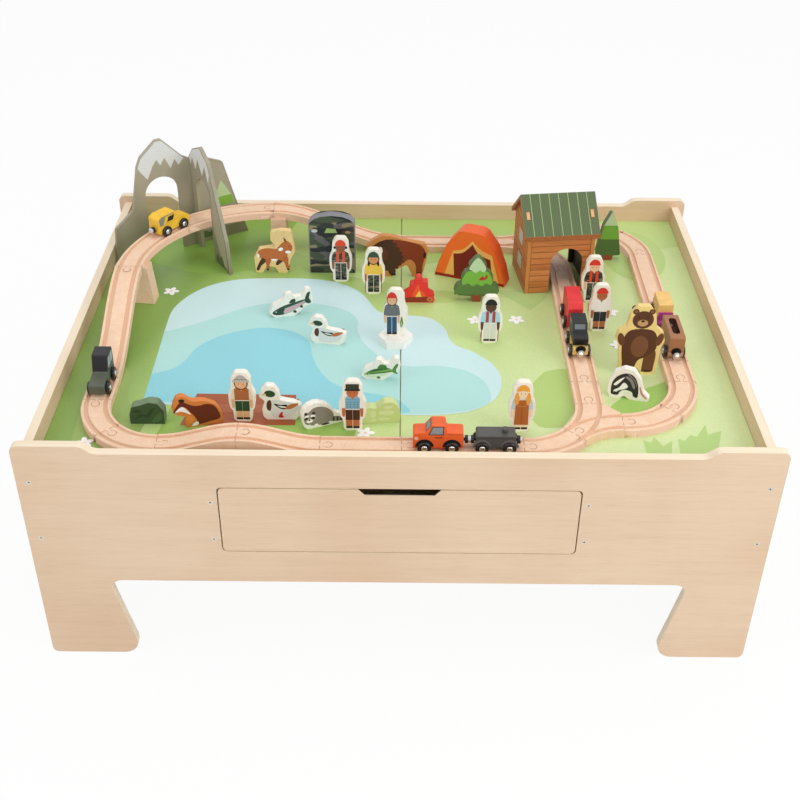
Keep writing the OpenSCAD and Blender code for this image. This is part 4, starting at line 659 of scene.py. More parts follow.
# Hopper lining and buffers: the hopper's trough is stained dark and varnished, and the two leading vehicles
# carry a bright steel ball in the coupler at their nose.
def stained():
    """Dark walnut stain under thick varnish: deep brown with faint streaks 4 mm apart and a wet gloss."""
    made, tree = material("walnut stain, varnished", 0.16, Coat_Weight=0.5, Coat_Roughness=0.08)
    place = add(tree, "Mapping", {"Vector": add(tree, "TexCoord", out="Object"), "Scale": (1.0, 0.1, 1.0)})
    grain = add(tree, "TexNoise", {"Vector": place, "Scale": 1 / (4 * MM), "Detail": 4.0})
    tone = add(tree, "ValToRGB", {"Fac": grain}, [(0.3, "#3A211A"), (0.7, "#5C392D")])
    return finished(made, tone)


def trough_lining(skin):
    """A thin shell in the trough of the hopper: a floor that curves up into walls with round ends."""
    straight, round_end = 16.5, 5.4
    levels = [(1.0, 38.0), (1.0, 31.0), (0.9, 28.0), (0.6, 26.4), (0.2, 26.1)]
    mesh = bmesh.new()
    x, y, _ = VEHICLES["hopper"][0]
    ring = []
    for end, start in ((straight, 0.0), (-straight, math.pi)):
        turns = [start + math.pi * i / 10 for i in range(11)]
        ring += [(round_end * math.cos(t), round_end * math.sin(t), end) for t in turns]
    loops = []
    for share, height in levels:
        loops.append([mesh.verts.new(Vector((x + across * share, y + along * share + end, TRACK + height)) * MM)
                      for across, along, end in ring])
    count = len(ring)
    for upper, lower in zip(loops, loops[1:]):
        for i in range(count):
            mesh.faces.new((upper[(i + 1) % count], upper[i], lower[i], lower[(i + 1) % count])).smooth = True
    mesh.faces.new(loops[-1])
    settle(mesh, "hopper_lining", (skin,), "hopper")


trough_lining(stained())
COUPLER_UP, COUPLER_FACE = 11.3, 8.05
ball_profile = [(4.2, 0.0), (4.1, 0.8), (3.5, 1.8), (2.5, 2.6), (1.3, 3.1), (0.4, 3.2)]
for vehicle in ("loco", "hopper"):
    (x, y, _), heading, length = VEHICLES[vehicle]
    ahead = ahead_at(heading)
    seat = Vector((x, y, TRACK + COUPLER_UP)) + ahead * (length / 2 + COUPLER_FACE)
    turned(vehicle + "_buffer", ball_profile, [(seat, ahead)], nickel, vehicle)


# Mountain: two slotted fibreboards that stand across each other over the elevated curve, printed with grey rock,
# snow and trees.
def rock_board():
    """Printed rock: warm grey with soft upright shading 60 mm wide and a darker foot, grey-brown sawn edges."""
    made, tree = material("printed fibreboard, rock", 0.5)
    place = add(tree, "TexCoord", out="Object")
    tall = add(tree, "Mapping", {"Vector": place, "Scale": (1.0, 1.0, 0.35)})
    shade = add(tree, "TexNoise", {"Vector": tall, "Scale": 1 / (60 * MM), "Detail": 2.0})
    tone = add(tree, "ValToRGB", {"Fac": shade}, [(0.32, "#9A927B"), (0.52, "#AAA28B"), (0.7, "#B9B29D")])
    level = add(tree, "SeparateXYZ", {"Vector": place}, out="Z")
    foot = add(tree, "MapRange", {"Value": level, "From Min": 0.335, "From Max": 0.42})
    dark = add(tree, "ValToRGB", {"Fac": foot}, [(0.0, "#C9CFBE"), (1.0, "#FFFFFF")])
    whole = add(tree, "Mix", {"Factor": 1.0, "A": tone, "B": dark}, data_type="RGBA", blend_type="MULTIPLY")
    grit = add(tree, "TexNoise", {"Vector": place, "Scale": 1 / (1.5 * MM)})
    return finished(made, whole, grit, strength=0.06, depth=0.1)


def standing(at, turn, thick, shapes, foot=BOARD):
    """The front and back faces of an upright block with the same print, in mm from the middle of its foot."""
    spin = Matrix.Rotation(math.radians(turn), 3, "Z")
    right, out = spin @ AXIS_X, spin @ AXIS_Y * (thick / 2)
    middle = Vector((at[0], at[1], foot))
    return [(middle - out, right, AXIS_Z, shapes), (middle + out, -right, AXIS_Z, resized(shapes, -1))]


dress("mountain_boards", rock_board())
MASSIF_AT, RIDGE_AT, MASSIF_TURN, MOUNTAIN_THICK = (-348.6, 260.4), (-323.16, 219.69), 32, 6
SNOW = "#E6E6E4"
massif = [
    ("#B0A994", [(5, 20), (5, 151), (27.6, 147.4), (53, 135), (77, 46), (84, 20)]),
    (SNOW, [(-93, 158.5), (-86, 174.5), (-58.6, 197.4), (-48.8, 197.4), (-15.6, 162.6), (-13, 160.4), (-23, 150),
            (-29, 162), (-37, 147), (-46, 168), (-54, 156), (-60, 167), (-67, 158), (-78, 136), (-88, 150)]),
    ("#C3DBA6", [(34, 76), (49, 106), (66, 76)]), ("#8CBC48", [(31, 60), (34, 76), (66, 76), (69, 60)]),
    ("#5A6A3E", curve([(6, 8), (12, 20), (22, 15), (30, 24), (38, 10)])), ("#D98A35", oval(60, 34, 13, 8, 10)),
    ("#4C2F1D", oval(60, 34, 6, 4, 10)),
]
ridge = [
    ("#B2AB97", [(57, 8), (78, 8), (72, 54), (50, 110), (25, 172), (14, 182), (20, 140), (30, 128), (33, 60)]),
    (SNOW, [(37, 145), (26, 174), (0, 191), (-29, 177.6), (-48, 158), (-41, 147), (-33, 164), (-22, 146), (-11, 168),
            (3, 144), (15, 165), (26, 140), (31, 156)]),
    ("#5A6A3E", curve([(34, 4), (40, 20), (48, 14), (56, 22), (64, 4)])),
]
mountain_faces = standing(MASSIF_AT, MASSIF_TURN, MOUNTAIN_THICK, massif)
mountain_faces += standing(RIDGE_AT, MASSIF_TURN - 90, MOUNTAIN_THICK, ridge)
printed("mountain_print", "root", mountain_faces)


# Cabin: four plywood walls that slot together at the corners, printed with brown planks and windows, and two
# roof boards printed as ribbed sheet and keyed onto the gables by tabs.
CABIN_HALF_W, CABIN_HALF_D, CABIN_WALL, CABIN_TURN = 54.0, 50.0, 6.0, 7
ROOF_HALF, PLANK, ROOF_SEAM, ROOF_RIB = 60.0, 10.4, 15.1, 2.6
cabin_middle = Vector((245.0, 151.87, BOARD))
cabin_spin = Matrix.Rotation(math.radians(CABIN_TURN), 3, "Z")
cabin_right, cabin_back = cabin_spin @ AXIS_X, cabin_spin @ AXIS_Y


def planks():
    """Printed planks: brown with a dark line between planks, streaks 5 mm apart, and sawn edges of bare wood.

    The inside is darkened nearly black by painted shade, and the ends of the roof tabs show pale bare wood.
    """
    made, tree = material("printed plywood, planks, painted shade inside", 0.5)
    place = add(tree, "TexCoord", out="Object")
    level = add(tree, "SeparateXYZ", {"Vector": place}, out="Z")
    height = add(tree, "Math", {0: level, 1: BOARD * MM}, operation="SUBTRACT")
    row = add(tree, "Math", {0: height, 1: PLANK * MM}, operation="DIVIDE")
    within = add(tree, "Math", {0: row}, operation="FRACT")
    plank = add(tree, "Math", {0: row}, operation="FLOOR")
    tint = add(tree, "TexWhiteNoise", {"W": plank}, noise_dimensions="1D")
    long = add(tree, "Mapping", {"Vector": place, "Scale": (0.12, 0.12, 1.0)})
    streak = add(tree, "TexNoise", {"Vector": long, "Scale": 1 / (5 * MM), "Detail": 3.0})
    mixed = add(tree, "Math", {0: tint, 1: 0.35, 2: streak}, operation="MULTIPLY_ADD")
    wood = add(tree, "ValToRGB", {"Fac": mixed}, [(0.35, "#AC622E"), (0.6, "#BC7038"), (0.85, "#C97F46")])
    line = add(tree, "Math", {0: within, 1: 0.11}, operation="LESS_THAN")
    lined = add(tree, "Mix", {"Factor": line, "A": wood, "B": linear("#7E4420")}, data_type="RGBA")
    upward = add(tree, "SeparateXYZ", {"Vector": add(tree, "TexCoord", out="Normal")}, out="Z")
    is_end = add(tree, "Math", {0: upward, 1: 0.3}, operation="GREATER_THAN")
    ended = add(tree, "Mix", {"Factor": is_end, "A": lined, "B": linear("#D9A574")}, data_type="RGBA")
    # Painted shade: every face within the walls' inner faces is darkened nearly black.
    inside = 1.0
    for way, reach in ((cabin_right, CABIN_HALF_W), (cabin_back, CABIN_HALF_D)):
        along = add(tree, "VectorMath", {0: place, 1: way}, operation="DOT_PRODUCT")
        offset = add(tree, "Math", {0: along, 1: way.dot(cabin_middle) * MM}, operation="SUBTRACT")
        away = add(tree, "Math", {0: offset}, operation="ABSOLUTE")
        near = add(tree, "Math", {0: away, 1: (reach - CABIN_WALL + 0.5) * MM}, operation="LESS_THAN")
        inside = add(tree, "Math", {0: near, 1: inside}, operation="MULTIPLY")
    whole = add(tree, "Mix", {"Factor": inside, "A": ended, "B": linear("#241E1A")}, data_type="RGBA")
    return finished(made, whole, within, strength=0.1, depth=0.2)


def roofing():
    """Printed sheet roof: dull green with light seams, fine ribs between them, and brown sawn edges."""
    made, tree = material("printed plywood, ribbed roof", 0.48)
    place = add(tree, "TexCoord").node.outputs
    across = add(tree, "VectorMath", {0: place["Object"], 1: cabin_right}, operation="DOT_PRODUCT")
    left_edge = cabin_right.dot(cabin_middle) - ROOF_HALF - 0.6
    run = add(tree, "Math", {0: across, 1: left_edge * MM}, operation="SUBTRACT")
    seam_row = add(tree, "Math", {0: run, 1: ROOF_SEAM * MM}, operation="DIVIDE")
    in_seam = add(tree, "Math", {0: add(tree, "Math", {0: seam_row}, operation="FRACT"), 1: 0.06},
                  operation="LESS_THAN")
    rib_row = add(tree, "Math", {0: run, 1: ROOF_RIB * MM}, operation="DIVIDE")
    in_rib = add(tree, "Math", {0: add(tree, "Math", {0: rib_row}, operation="FRACT"), 1: 0.3}, operation="LESS_THAN")
    sheet = add(tree, "Mix", {"Factor": in_rib, "A": linear("#54643C"), "B": linear("#425231")}, data_type="RGBA")
    seamed = add(tree, "Mix", {"Factor": in_seam, "A": sheet, "B": linear("#9CBB78")}, data_type="RGBA")
    facing = add(tree, "SeparateXYZ", {"Vector": place["Normal"]}, out="Z")
    upward = add(tree, "Math", {0: facing, 1: 0.6}, operation="GREATER_THAN")
    edge = add(tree, "TexNoise", {"Vector": place["Object"], "Scale": 1 / (2 * MM), "Detail": 3.0})
    bare = add(tree, "ValToRGB", {"Fac": edge}, [(0.3, "#8F5026"), (0.7, "#B06A36")])
    whole = add(tree, "Mix", {"Factor": upward, "A": bare, "B": seamed}, data_type="RGBA")
    return finished(made, whole)


dress("cabin_walls", planks(), edge=0.5)
dress("cabin_roof", roofing(), edge=0.5)
corner_posts = [("#C98347", slab(-53.6, 0.5, -47.9, 97)), ("#7E4420", slab(-47.9, 0.5, -47.2, 97)),
                ("#C98347", slab(47.9, 0.5, 53.6, 97)), ("#7E4420", slab(47.2, 0.5, 47.9, 97))]
window = []
for foot in (24, 66):
    window += [("#6B3A1C", slab(-15, foot - 1, 15, foot + 25)),
               ("#E9E6DC", slab(-13.4, foot + 0.6, 13.4, foot + 23.4)),
               ("#A9BCC0", slab(-12, foot + 2, -0.8, foot + 22)), ("#A9BCC0", slab(0.8, foot + 2, 12, foot + 22)),
               ("#E9E6DC", slab(-12, foot + 11.4, 12, foot + 12.6))]
printed("cabin_print", "root", [
    (cabin_middle - cabin_back * CABIN_HALF_D, cabin_right, AXIS_Z, corner_posts),
    (cabin_middle - cabin_right * CABIN_HALF_W, -cabin_back, AXIS_Z, window),
    (cabin_middle + cabin_right * CABIN_HALF_W, cabin_back, AXIS_Z, window)])


# Shelters: a thick tent block sprayed orange and printed with an open flap, and a hunting blind printed with
# a spotted pattern of earth colours. Both are sawn from thick board and stand loose on their flat feet.
TENT_AT, TENT_TURN, TENT_THICK = (115.9, 149.9), -20, 30
BLIND_AT, BLIND_THICK = (-113.1, 167.9), 20


def sprayed(name, ground, spots):
    """Sprayed lime wood: even matt colour over faint grain 3 mm apart.

    A spot (x, y, reach, hex value) gives the blocks within its reach another colour.
    """
    made, tree = material(name, 0.5)
    place = add(tree, "TexCoord", out="Object")
    flat = add(tree, "VectorMath", {0: place, 1: (1.0, 1.0, 0.0)}, operation="MULTIPLY")
    colour = linear(ground)
    for x, y, reach, code in spots:
        away = add(tree, "VectorMath", {0: flat, 1: (x * MM, y * MM, 0.0)}, operation="DISTANCE")
        near = add(tree, "Math", {0: away, 1: reach * MM}, operation="LESS_THAN")
        colour = add(tree, "Mix", {"Factor": near, "A": colour, "B": linear(code)}, data_type="RGBA")
    long = add(tree, "Mapping", {"Vector": place, "Scale": (1.0, 1.0, 0.15)})
    grain = add(tree, "TexNoise", {"Vector": long, "Scale": 1 / (3 * MM), "Detail": 4.0})
    tint = add(tree, "ValToRGB", {"Fac": grain}, [(0.3, "#F7F5F1"), (0.65, "#FFFFFF")])
    whole = add(tree, "Mix", {"Factor": 1.0, "A": colour, "B": tint}, data_type="RGBA", blend_type="MULTIPLY")
    return finished(made, whole, grain, strength=0.08, depth=0.1)


def spotted(name, blob):
    """Printed earth colours: hard-edged lying blobs in five tones, about the given size in mm."""
    made, tree = material(name, 0.5)
    place = add(tree, "Mapping", {"Vector": add(tree, "TexCoord", out="Object"), "Scale": (0.5, 0.5, 1.5)})
    colour = linear("#292C25")
    for seed, limit, code in ((0.0, 0.5, "#414B35"), (7.0, 0.56, "#625E5E"), (13.0, 0.57, "#8E8262"),
                              (21.0, 0.56, "#1A1C1A")):
        cloud = add(tree, "TexNoise", {"Vector": place, "W": seed, "Scale": 1 / (blob * MM), "Detail": 1.5,
                                       "Distortion": 0.6}, noise_dimensions="4D")
        blot = add(tree, "Math", {0: cloud, 1: limit}, operation="GREATER_THAN")
        colour = add(tree, "Mix", {"Factor": blot, "A": colour, "B": linear(code)}, data_type="RGBA")
    return finished(made, colour)


wide_spots, small_spots = spotted("printed earth colours, wide", 24), spotted("printed earth colours, small", 5)
dress("shelters", sprayed("sprayed lime wood, shelters", "#EC6220", [(*BLIND_AT, 48, "#808186")]), edge=1.2)
tent = [
    ("#F87229", curve([(-58.5, 0.5), (-58.5, 0.5), (58.5, 0.5), (58.5, 0.5), (51.6, 27.6), (38.6, 59.7), (18.6, 85),
                       (0, 87), (-18.6, 85), (-38.6, 59.7), (-51.6, 27.6)])),
    ("#F8BC63", curve([(-43, 4), (-43, 4), (-29, 50), (-29, 50), (-12, 56), (3, 73), (3, 73), (17, 60), (36, 53),
                       (36, 53), (50, 4), (50, 4)])),
    ("#7F231A", curve([(-26, 4), (-26, 4), (-28.5, 45), (-28.5, 45), (-12, 50), (3, 67), (3, 67), (15, 51), (34, 45),
                       (34, 45), (39, 4), (39, 4)])),
    ("#9C2418", slab(-58.5, 0.4, 58.5, 5.5)),
]
blind = [(1, [(-36, 0.5), (36, 0.5), (36, 90), (30, 97), (18, 102), (0, 104), (-18, 102), (-30, 97), (-36, 90)]),
         ("#C6CBC4", oval(-28, 77, 10, 6)), ("#9DBB6C", [(-12, 73.5), (9, 73.5), (6, 81), (-8, 82)]),
         ("#B98A74", oval(26, 75, 9, 4.6))]
shelter_faces = standing(TENT_AT, TENT_TURN, TENT_THICK, tent) + standing(BLIND_AT, 0, BLIND_THICK, blind)
printed("shelter_print", "root", shelter_faces, (wide_spots,))


# Trees: a leafy tree and a fir, each sawn from one thick board, sprayed green and printed on both faces with
# three tiers of green over a brown trunk. They stand loose on their flat feet.
LEAFY_AT, FIR_AT, BLOCK = (119.1, 75.7), (346.0, 216.9), 14
dress("trees", sprayed("sprayed lime wood, trees", "#4E6B3A", []), edge=0.8)
scallop = [(-40, 14), (-40, 22), (-33, 31), (-24, 34.5), (24, 34.5), (33, 31), (40, 22), (36, 14.5), (27, 16),
           (18, 12.8), (8, 15.5), (0, 12.8), (-9, 15.6), (-18, 12.8), (-28, 15.8)]
leafy = [("#9A452B", slab(-7.5, 0.5, 7.5, 14)), ("#5C7B43", curve(scallop)),
         ("#7CB446", curve([(-28, 40), (-21, 56), (-12, 60), (12, 60), (21, 56), (28, 40), (24, 33.5), (16, 36),
                            (9, 31), (0, 35), (-8, 31), (-16, 36), (-24, 33)])),
         ("#C0D8AE", curve([(-15, 66), (0, 85), (15, 66), (11, 57.5), (4, 61), (-3, 56.5), (-10, 60.5)])),
         ("#B5341F", curve([(3, 43), (9, 50), (13, 47.5), (16, 52.5), (19, 51), (17, 45.5), (11, 42.5)]))]
fir = [("#93442B", slab(-7.5, 0.5, 7.5, 10)), ("#4F6C36", [(-20, 10.5), (20, 10.5), (15.4, 39.5), (-15.4, 39.5)]),
       ("#70A93C", [(-15.4, 39.5), (15.4, 39.5), (11.2, 65), (-11.2, 65)]),
       ("#BAD3A4", [(-11.2, 65), (11.2, 65), (0.6, 88), (-0.6, 88)])]
tree_faces = standing(LEAFY_AT, 0, BLOCK, resized(leafy, 0.87, 0.932)) + standing(FIR_AT, 0, BLOCK, fir)
printed("tree_print", "root", tree_faces)


# Ground blocks: a campfire, a rock, a bush and a six-sided ice floe, each sawn from one thick board and sprayed.
# The first three are printed on both faces, and all of them lie or stand loose on the play board.
FIRE_AT, BOULDER_AT, SHRUB_AT, SHRUB_TURN = (26.8, 71.9), (-343.7, -258.0), (-26.53, -251.02), 7
prop_colours = [(*FIRE_AT, 32, "#D9362C"), (*BOULDER_AT, 32, "#6F8462"), (*SHRUB_AT, 32, "#D0DC97")]
dress("ground_props", sprayed("sprayed lime wood, ground blocks", "#F8F6F0", prop_colours), edge=0.8)
fire = [("#E9332B", curve([(-22, 9), (-15, 20), (-12, 32), (-6, 33.5), (-4, 43), (3, 45), (6, 35), (14, 36.5),
                           (15, 20), (23, 11), (23, 4), (-22, 4)])),
        ("#F0572E", curve([(-9, 10), (-5, 24), (0, 34), (3, 24), (9, 18), (10, 10)])),
        ("#F7C95A", curve([(-4, 9), (-1, 17), (2, 21), (4, 14), (6, 9)])),
        ("#8E3323", curve([(-24, 1), (-24, 1), (-24, 8), (0, 10.5), (20, 10), (20, 1), (20, 1)])),
        ("#C9774E", oval(18.6, 6, 9, 9)), ("#A3502F", oval(18.6, 6, 4, 4))]
boulder = [("#3A5233", [(-23.2, 0.5), (23.2, 0.5), (23.4, 21.6), (15.6, 33.2), (4.2, 35.2), (-8.2, 30.2),
                        (-19.6, 27.2), (-23.2, 14.4)]),
           ("#2C4027", curve([(-16, 8), (-6, 13), (2, 10), (8, 20), (12, 27), (6, 25), (0, 16), (-9, 16)])),
           ("#4A6541", curve([(6, 4), (13, 15), (20, 19), (19, 8), (12, 3)])),
           ("#2C4027", curve([(-20, 20), (-13, 24), (-6, 22), (-12, 19)]))]
shrub = [("#CBD98F", curve([(-25.6, 0.5), (-25.6, 0.5), (25.6, 0.5), (25.6, 0.5), (25.5, 17.4), (21.4, 27.2),
                            (13.4, 33), (4.4, 32.2), (-3, 27.2), (-7.4, 24.4), (-15.6, 25.6), (-22.4, 24),
                            (-25.4, 16.6)]))]
for x, y, wide, high in ((-11, 16, 8, 12), (-11, 6, 8, 5), (7, 17, 22, 8), (9, 26, 13, 5), (4, 7, 16, 5)):
    shrub.append(("#D9E3A8", oval(x, y, wide, high)))
prop_faces = standing(FIRE_AT, 0, BLOCK, fire) + standing(BOULDER_AT, 0, BLOCK, boulder)
prop_faces += standing(SHRUB_AT, SHRUB_TURN, BLOCK, shrub)
printed("ground_print", "root", prop_faces)


# People: nine flat figures sawn from thick board, left cream at the margin and printed on both faces. They stand
# loose on their flat feet, one of them on the ice floe.
FLOE_TOP, FIGURE, TALLER = 347.45, 10, 1.04
dress("people_figures", sprayed("sprayed lime wood, cream", "#F8F2E4", []), edge=1.0)
BLACK, CREAM = "#1C1A1A", "#F4EBDC"


def person(cap, skin, shirt, legs, sleeve=None, bare=False, hair=None, extras=()):
    """The print of one figure, 36 mm wide and 80 mm tall, from the shoes up; a number picks the spotted print."""
    sleeve = shirt if sleeve is None else sleeve
    shapes = [(BLACK, slab(-9, 3.6, -0.4, 7)), (BLACK, slab(0.4, 3.6, 9, 7)),
              (skin if bare else legs, slab(-9, 7, -0.4, 33)), (skin if bare else legs, slab(0.4, 7, 9, 33))]
    if bare:
        shapes += [(legs, slab(-9.6, 17, -0.2, 33.4)), (legs, slab(0.2, 17, 9.6, 33.4))]
    for s in (-1, 1):
        shapes.append((sleeve, [(8.4 * s, 53.4), (12.2 * s, 51), (14.4 * s, 42), (14.6 * s, 35.6), (9.4 * s, 35.6)]))
        shapes.append((skin, [(9.7 * s, 35.6), (14.4 * s, 35.6), (14 * s, 25), (12.8 * s, 21.8), (10.6 * s, 22.6)]))
    shapes += [(shirt, [(-9.6, 34.2), (9.6, 34.2), (9.9, 51.6), (6.4, 55), (-6.4, 55), (-9.9, 51.6)]),
               (CREAM, slab(-9.6, 33.2, 9.6, 34.4)), (skin, [(-3.6, 55.6), (0, 48.8), (3.6, 55.6)])]
    if hair:
        shapes.append((hair, oval(0, 61, 19, 20)))
    shapes += [(skin, oval(0, 60.2, 16, 15.4)), (BLACK, oval(-3.1, 60, 1.3, 1.6, count=10)),
               (BLACK, oval(3.1, 60, 1.3, 1.6, count=10)), (cap, clip(oval(0, 62.6, 18, 22), 1, 63.6, 1))]
    return resized(shapes + list(extras), 1.0, TALLER)


def straps(code):
    """Two shoulder straps down the front."""
    return [(code, [(2.6 * s, 35), (7 * s, 35), (7 * s, 52), (4.8 * s, 54.4), (2.6 * s, 52)]) for s in (-1, 1)]


hiking_poles = [("#7A2A22", slab(12.6 * s - 0.5, 4, 12.6 * s + 0.5, 34)) for s in (-1, 1)]
muffs = [(BLACK, oval(9.2 * s, 60.4, 3.6, 5)) for s in (-1, 1)]
plaits = [("#2B1D17", oval(7.4 * s, 53, 3.6, 9)) for s in (-1, 1)]
checks = [("#5F97B0", slab(-9.4, y, 9.4, y + 0.9)) for y in (37, 41, 45, 49)]
checks += [("#5F97B0", slab(x, 34.6, x + 0.9, 47)) for x in (-7.4, -3.4, 2.6, 6.6)]
flat_cap = [("#2C3826", slab(-8.8, 65, 8.8, 73.4)), ("#20291B", slab(-10, 62.8, 10, 66))]
hat_brim = [("#C2BDB4", slab(-11, 62.6, 11, 66)), ("#8F8A84", slab(-8.8, 66, 8.8, 67.6))]
long_hair = [("#EFA53C", oval(-7.6, 52, 6.4, 20)), ("#EFA53C", oval(7.6, 52, 6.4, 20)),
             ("#F6DDB8", oval(0, 59.4, 12, 11)), (BLACK, oval(-2.6, 60, 1.2, 1.5, count=10)),
             (BLACK, oval(2.6, 60, 1.2, 1.5, count=10))]
overall = [("#B4652E", [(-9.6, 11), (9.6, 11), (8.8, 46), (5.6, 50), (-5.6, 50), (-8.8, 46)]),
           ("#8C4A1E", slab(-0.4, 11, 0.4, 44)), ("#D08A4C", slab(-6, 40, 6, 40.9))]
catch = [("#5F8A4A", curve([(8.4, 16), (11, 22), (10.6, 30), (9, 35), (7.2, 28), (7, 20)])),
         (BLACK, oval(9, 31.6, 1.2, 1.2, count=8)), ("#A9C48E", oval(8.8, 22, 1.6, 8))]
angler = person("#D8372E", "#E9B48C", "#6C7074", "#2F5576", hair="#3A2A22")
fisher = resized(angler, 0.82, shift=-5.5) + catch
people = [
    ((-97.9, 134.1), BOARD, person("#E84A2C", "#9A5A3C", 1, 1, extras=straps("#EE5430") + muffs)),
    ((-44.2, 95.9), BOARD, person("#37533B", "#DA9560", "#F3C64C", 1, hair="#2B1D17", extras=plaits + hiking_poles)),
    ((133.1, -47.1), BOARD, person("#1F1A19", "#5B3B2B", "#A8D7EA", "#DEDDD3", extras=straps("#BC3A30")
                                   + hiking_poles)),
    ((302.0, 76.87), BOARD, person("#E03A2C", "#F1C49C", 1, 1, extras=straps("#E8472E"))),
    ((302.0, -10.13), BOARD, person("#DE362E", "#B66B40", "#FAF6EE", "#232A38", bare=True)),
    ((163.0, -269.0), BOARD, person("#EFA53C", "#F6DDB8", "#C7D3DA", "#F6DDB8", extras=overall + long_hair)),
    ((-63.9, -270.0), BOARD, person("#2C3826", "#C26C3E", "#86B6CA", "#4A2A1C", sleeve="#F2EEE6", bare=True,
                                    extras=checks + flat_cap)),
    ((-214.0, -252.0), BOARD, person("#B9B4AC", "#EDB486", "#B06A3E", "#2C4A2E", sleeve="#F1D9C0", bare=True,
                                     hair="#2B1D17", extras=hat_brim)),
    ((-8.1, -49.9), FLOE_TOP, fisher),
]
people_faces = [face for at, foot, shapes in people for face in standing(at, 0, FIGURE, shapes, foot)]
printed("people_print", "root", people_faces, (small_spots,))


# Animals: ten flat figures sawn from thick board, with tan or white margins and both faces printed. They stand
# loose on the play board, three of them on the printed lake.
DEER_AT, BISON_AT, BEAR_AT, BEAVER_AT = (-207.1, 161.9), (-6.8, 152.1), (341.1, -127.9), (-275.17, -263.65)
tan_margins = [(*DEER_AT, 38, "#EBCB8C"), (*BISON_AT, 54, "#C98544"), (*BEAR_AT, 42, "#EFD389"),
               (*BEAVER_AT, 38, "#D98038")]
dress("animal_figures", sprayed("sprayed lime wood, white and tan", "#F8F4EA", tan_margins), edge=1.0)
WHITE = "#FBF8F2"
deer = [
    ("#C06B34", curve([(-26, 36), (-19, 40.5), (-9, 42), (3, 41), (8, 46), (14, 52), (22, 54), (28.5, 46), (27, 38),
                       (21, 33), (19, 24), (12, 19.5), (-5, 21.5), (-12, 19), (-20, 23), (-25, 28)])),
    ("#4A2C1C", curve([(-20, 25), (-27, 14), (-30, 5), (-26, 4.5), (-22, 12), (-14, 20)])),
    ("#B8622E", curve([(-15, 24), (-14, 12), (-14, 5), (-10, 5), (-9, 14), (-6, 22)])),
    ("#4A2C1C", curve([(5, 22), (1, 15), (4, 13), (9, 17), (12, 20)])),
    ("#B8622E", curve([(12, 26), (16, 14), (18.6, 6), (22.6, 6), (21, 16), (21, 27)])),
    ("#3A2218", oval(-12, 5.4, 4.4, 3)), ("#3A2218", oval(20.4, 6.2, 4.4, 3)), (WHITE, oval(10, 40.4, 8, 5.6, 20)),
    (WHITE, oval(21.5, 35.8, 9, 5)),
    (WHITE, oval(-26, 29, 4, 6)), (WHITE, oval(-1, 22.4, 11, 3.2)), (BLACK, oval(7, 43, 2.6, 2)),
    (BLACK, oval(23.6, 45, 1.8, 1.8, count=10)), ("#8A4824", curve([(17, 53), (15, 60), (18, 58), (20, 54)])),
]
bison = [
    ("#83381D", curve([(-8, 66), (8, 66.5), (24, 63), (38, 58), (45, 47), (43, 30), (41, 20), (40, 8), (31, 8),
                       (30.5, 20), (26, 29), (18, 32), (8, 24), (-4, 18), (-10, 40)])),
    ("#492D20", [(-44, 46), (-40, 56), (-30, 64), (-18, 68.4), (-6, 68.6), (-8, 63), (0, 61), (-3, 56), (5, 53),
                 (2, 48.6), (9, 45), (6, 41), (12, 36), (7, 33.6), (12, 28), (6, 26.6), (7, 21), (1, 21), (2, 15),
                 (-4, 15), (-2, 4), (-12, 4), (-15, 11), (-20, 12), (-24, 22), (-29, 24), (-38, 36)]),
    ("#5E3622", curve([(-40, 46), (-30, 56), (-18, 50), (-16, 32), (-24, 32), (-34, 38)])),
    ("#2E1A12", curve([(44, 47), (47, 42), (45, 34), (42, 38)])),
    ("#2E1A12", oval(35.4, 6.6, 9, 5)), ("#2E1A12", oval(-7, 4.4, 9, 4)),
    (WHITE, curve([(-29, 55), (-25, 53), (-24, 46), (-27, 42), (-31, 42), (-27.6, 46), (-28, 51)])),
    (BLACK, oval(-33, 45, 2, 2)),
]
bear = [
    ("#6B4129", curve([(7, 5), (7, 5), (22, 5), (24, 14), (24, 40), (10, 44)])),
    ("#5A3422", curve([(-21, 5), (-21, 5), (-7, 5), (0, 24), (10, 30), (23, 42), (24, 62), (14, 76), (-14, 76),
                       (-24, 62), (-25, 42), (-22, 20)])),
    ("#6B4129", oval(-27.4, 60, 10, 22, 14)), ("#6B4129", oval(27.4, 60, 10, 22, -14)),
    ("#7B4E34", oval(0, 48, 25, 36)), ("#5A3422", oval(-11.4, 106, 9, 9)), ("#5A3422", oval(11.4, 106, 9, 9)),
    ("#5A3422", oval(0, 92.6, 30, 29)), ("#C99B6C", oval(0, 87.4, 15, 11)), (BLACK, oval(0, 90.4, 5.4, 3.6)),
    (BLACK, oval(-6, 97, 2.2, 2.6)), (BLACK, oval(6, 97, 2.2, 2.6)), ("#8A5A3A", oval(-11.4, 106, 4.4, 4.4)),
    ("#8A5A3A", oval(11.4, 106, 4.4, 4.4)),
    ("#3C2217", oval(-14, 6.4, 13, 4)), ("#3C2217", oval(15, 6.4, 13, 4)),
]
badger = [
    ("#2E2B2A", curve([(-25, 10), (-24, 26), (-16, 38), (-4, 43), (6, 38), (12, 24), (13, 6), (7, 6), (4, 13),
                       (-6, 15), (-12, 11), (-15, 5), (-23, 5)])),
    (WHITE, curve([(-21, 12), (-14, 18), (-8, 27), (-2, 21), (-7, 16), (-14, 13), (-19, 8)])),
    (WHITE, curve([(-22, 22), (-15, 31), (-8, 36), (-12, 29), (-18, 21)])),
    ("#8B8781", curve([(-4, 38), (4, 32), (8, 20), (5, 20), (0, 30), (-7, 36)])),
    ("#8B8781", curve([(-1, 41), (8, 31), (10, 22), (6, 32), (-4, 41)])), (BLACK, oval(-19, 9, 3.4, 2.8)),
    ("#D98A84", curve([(15, 24), (19, 14), (26, 6), (24, 5), (17, 12), (14, 22)])),
]
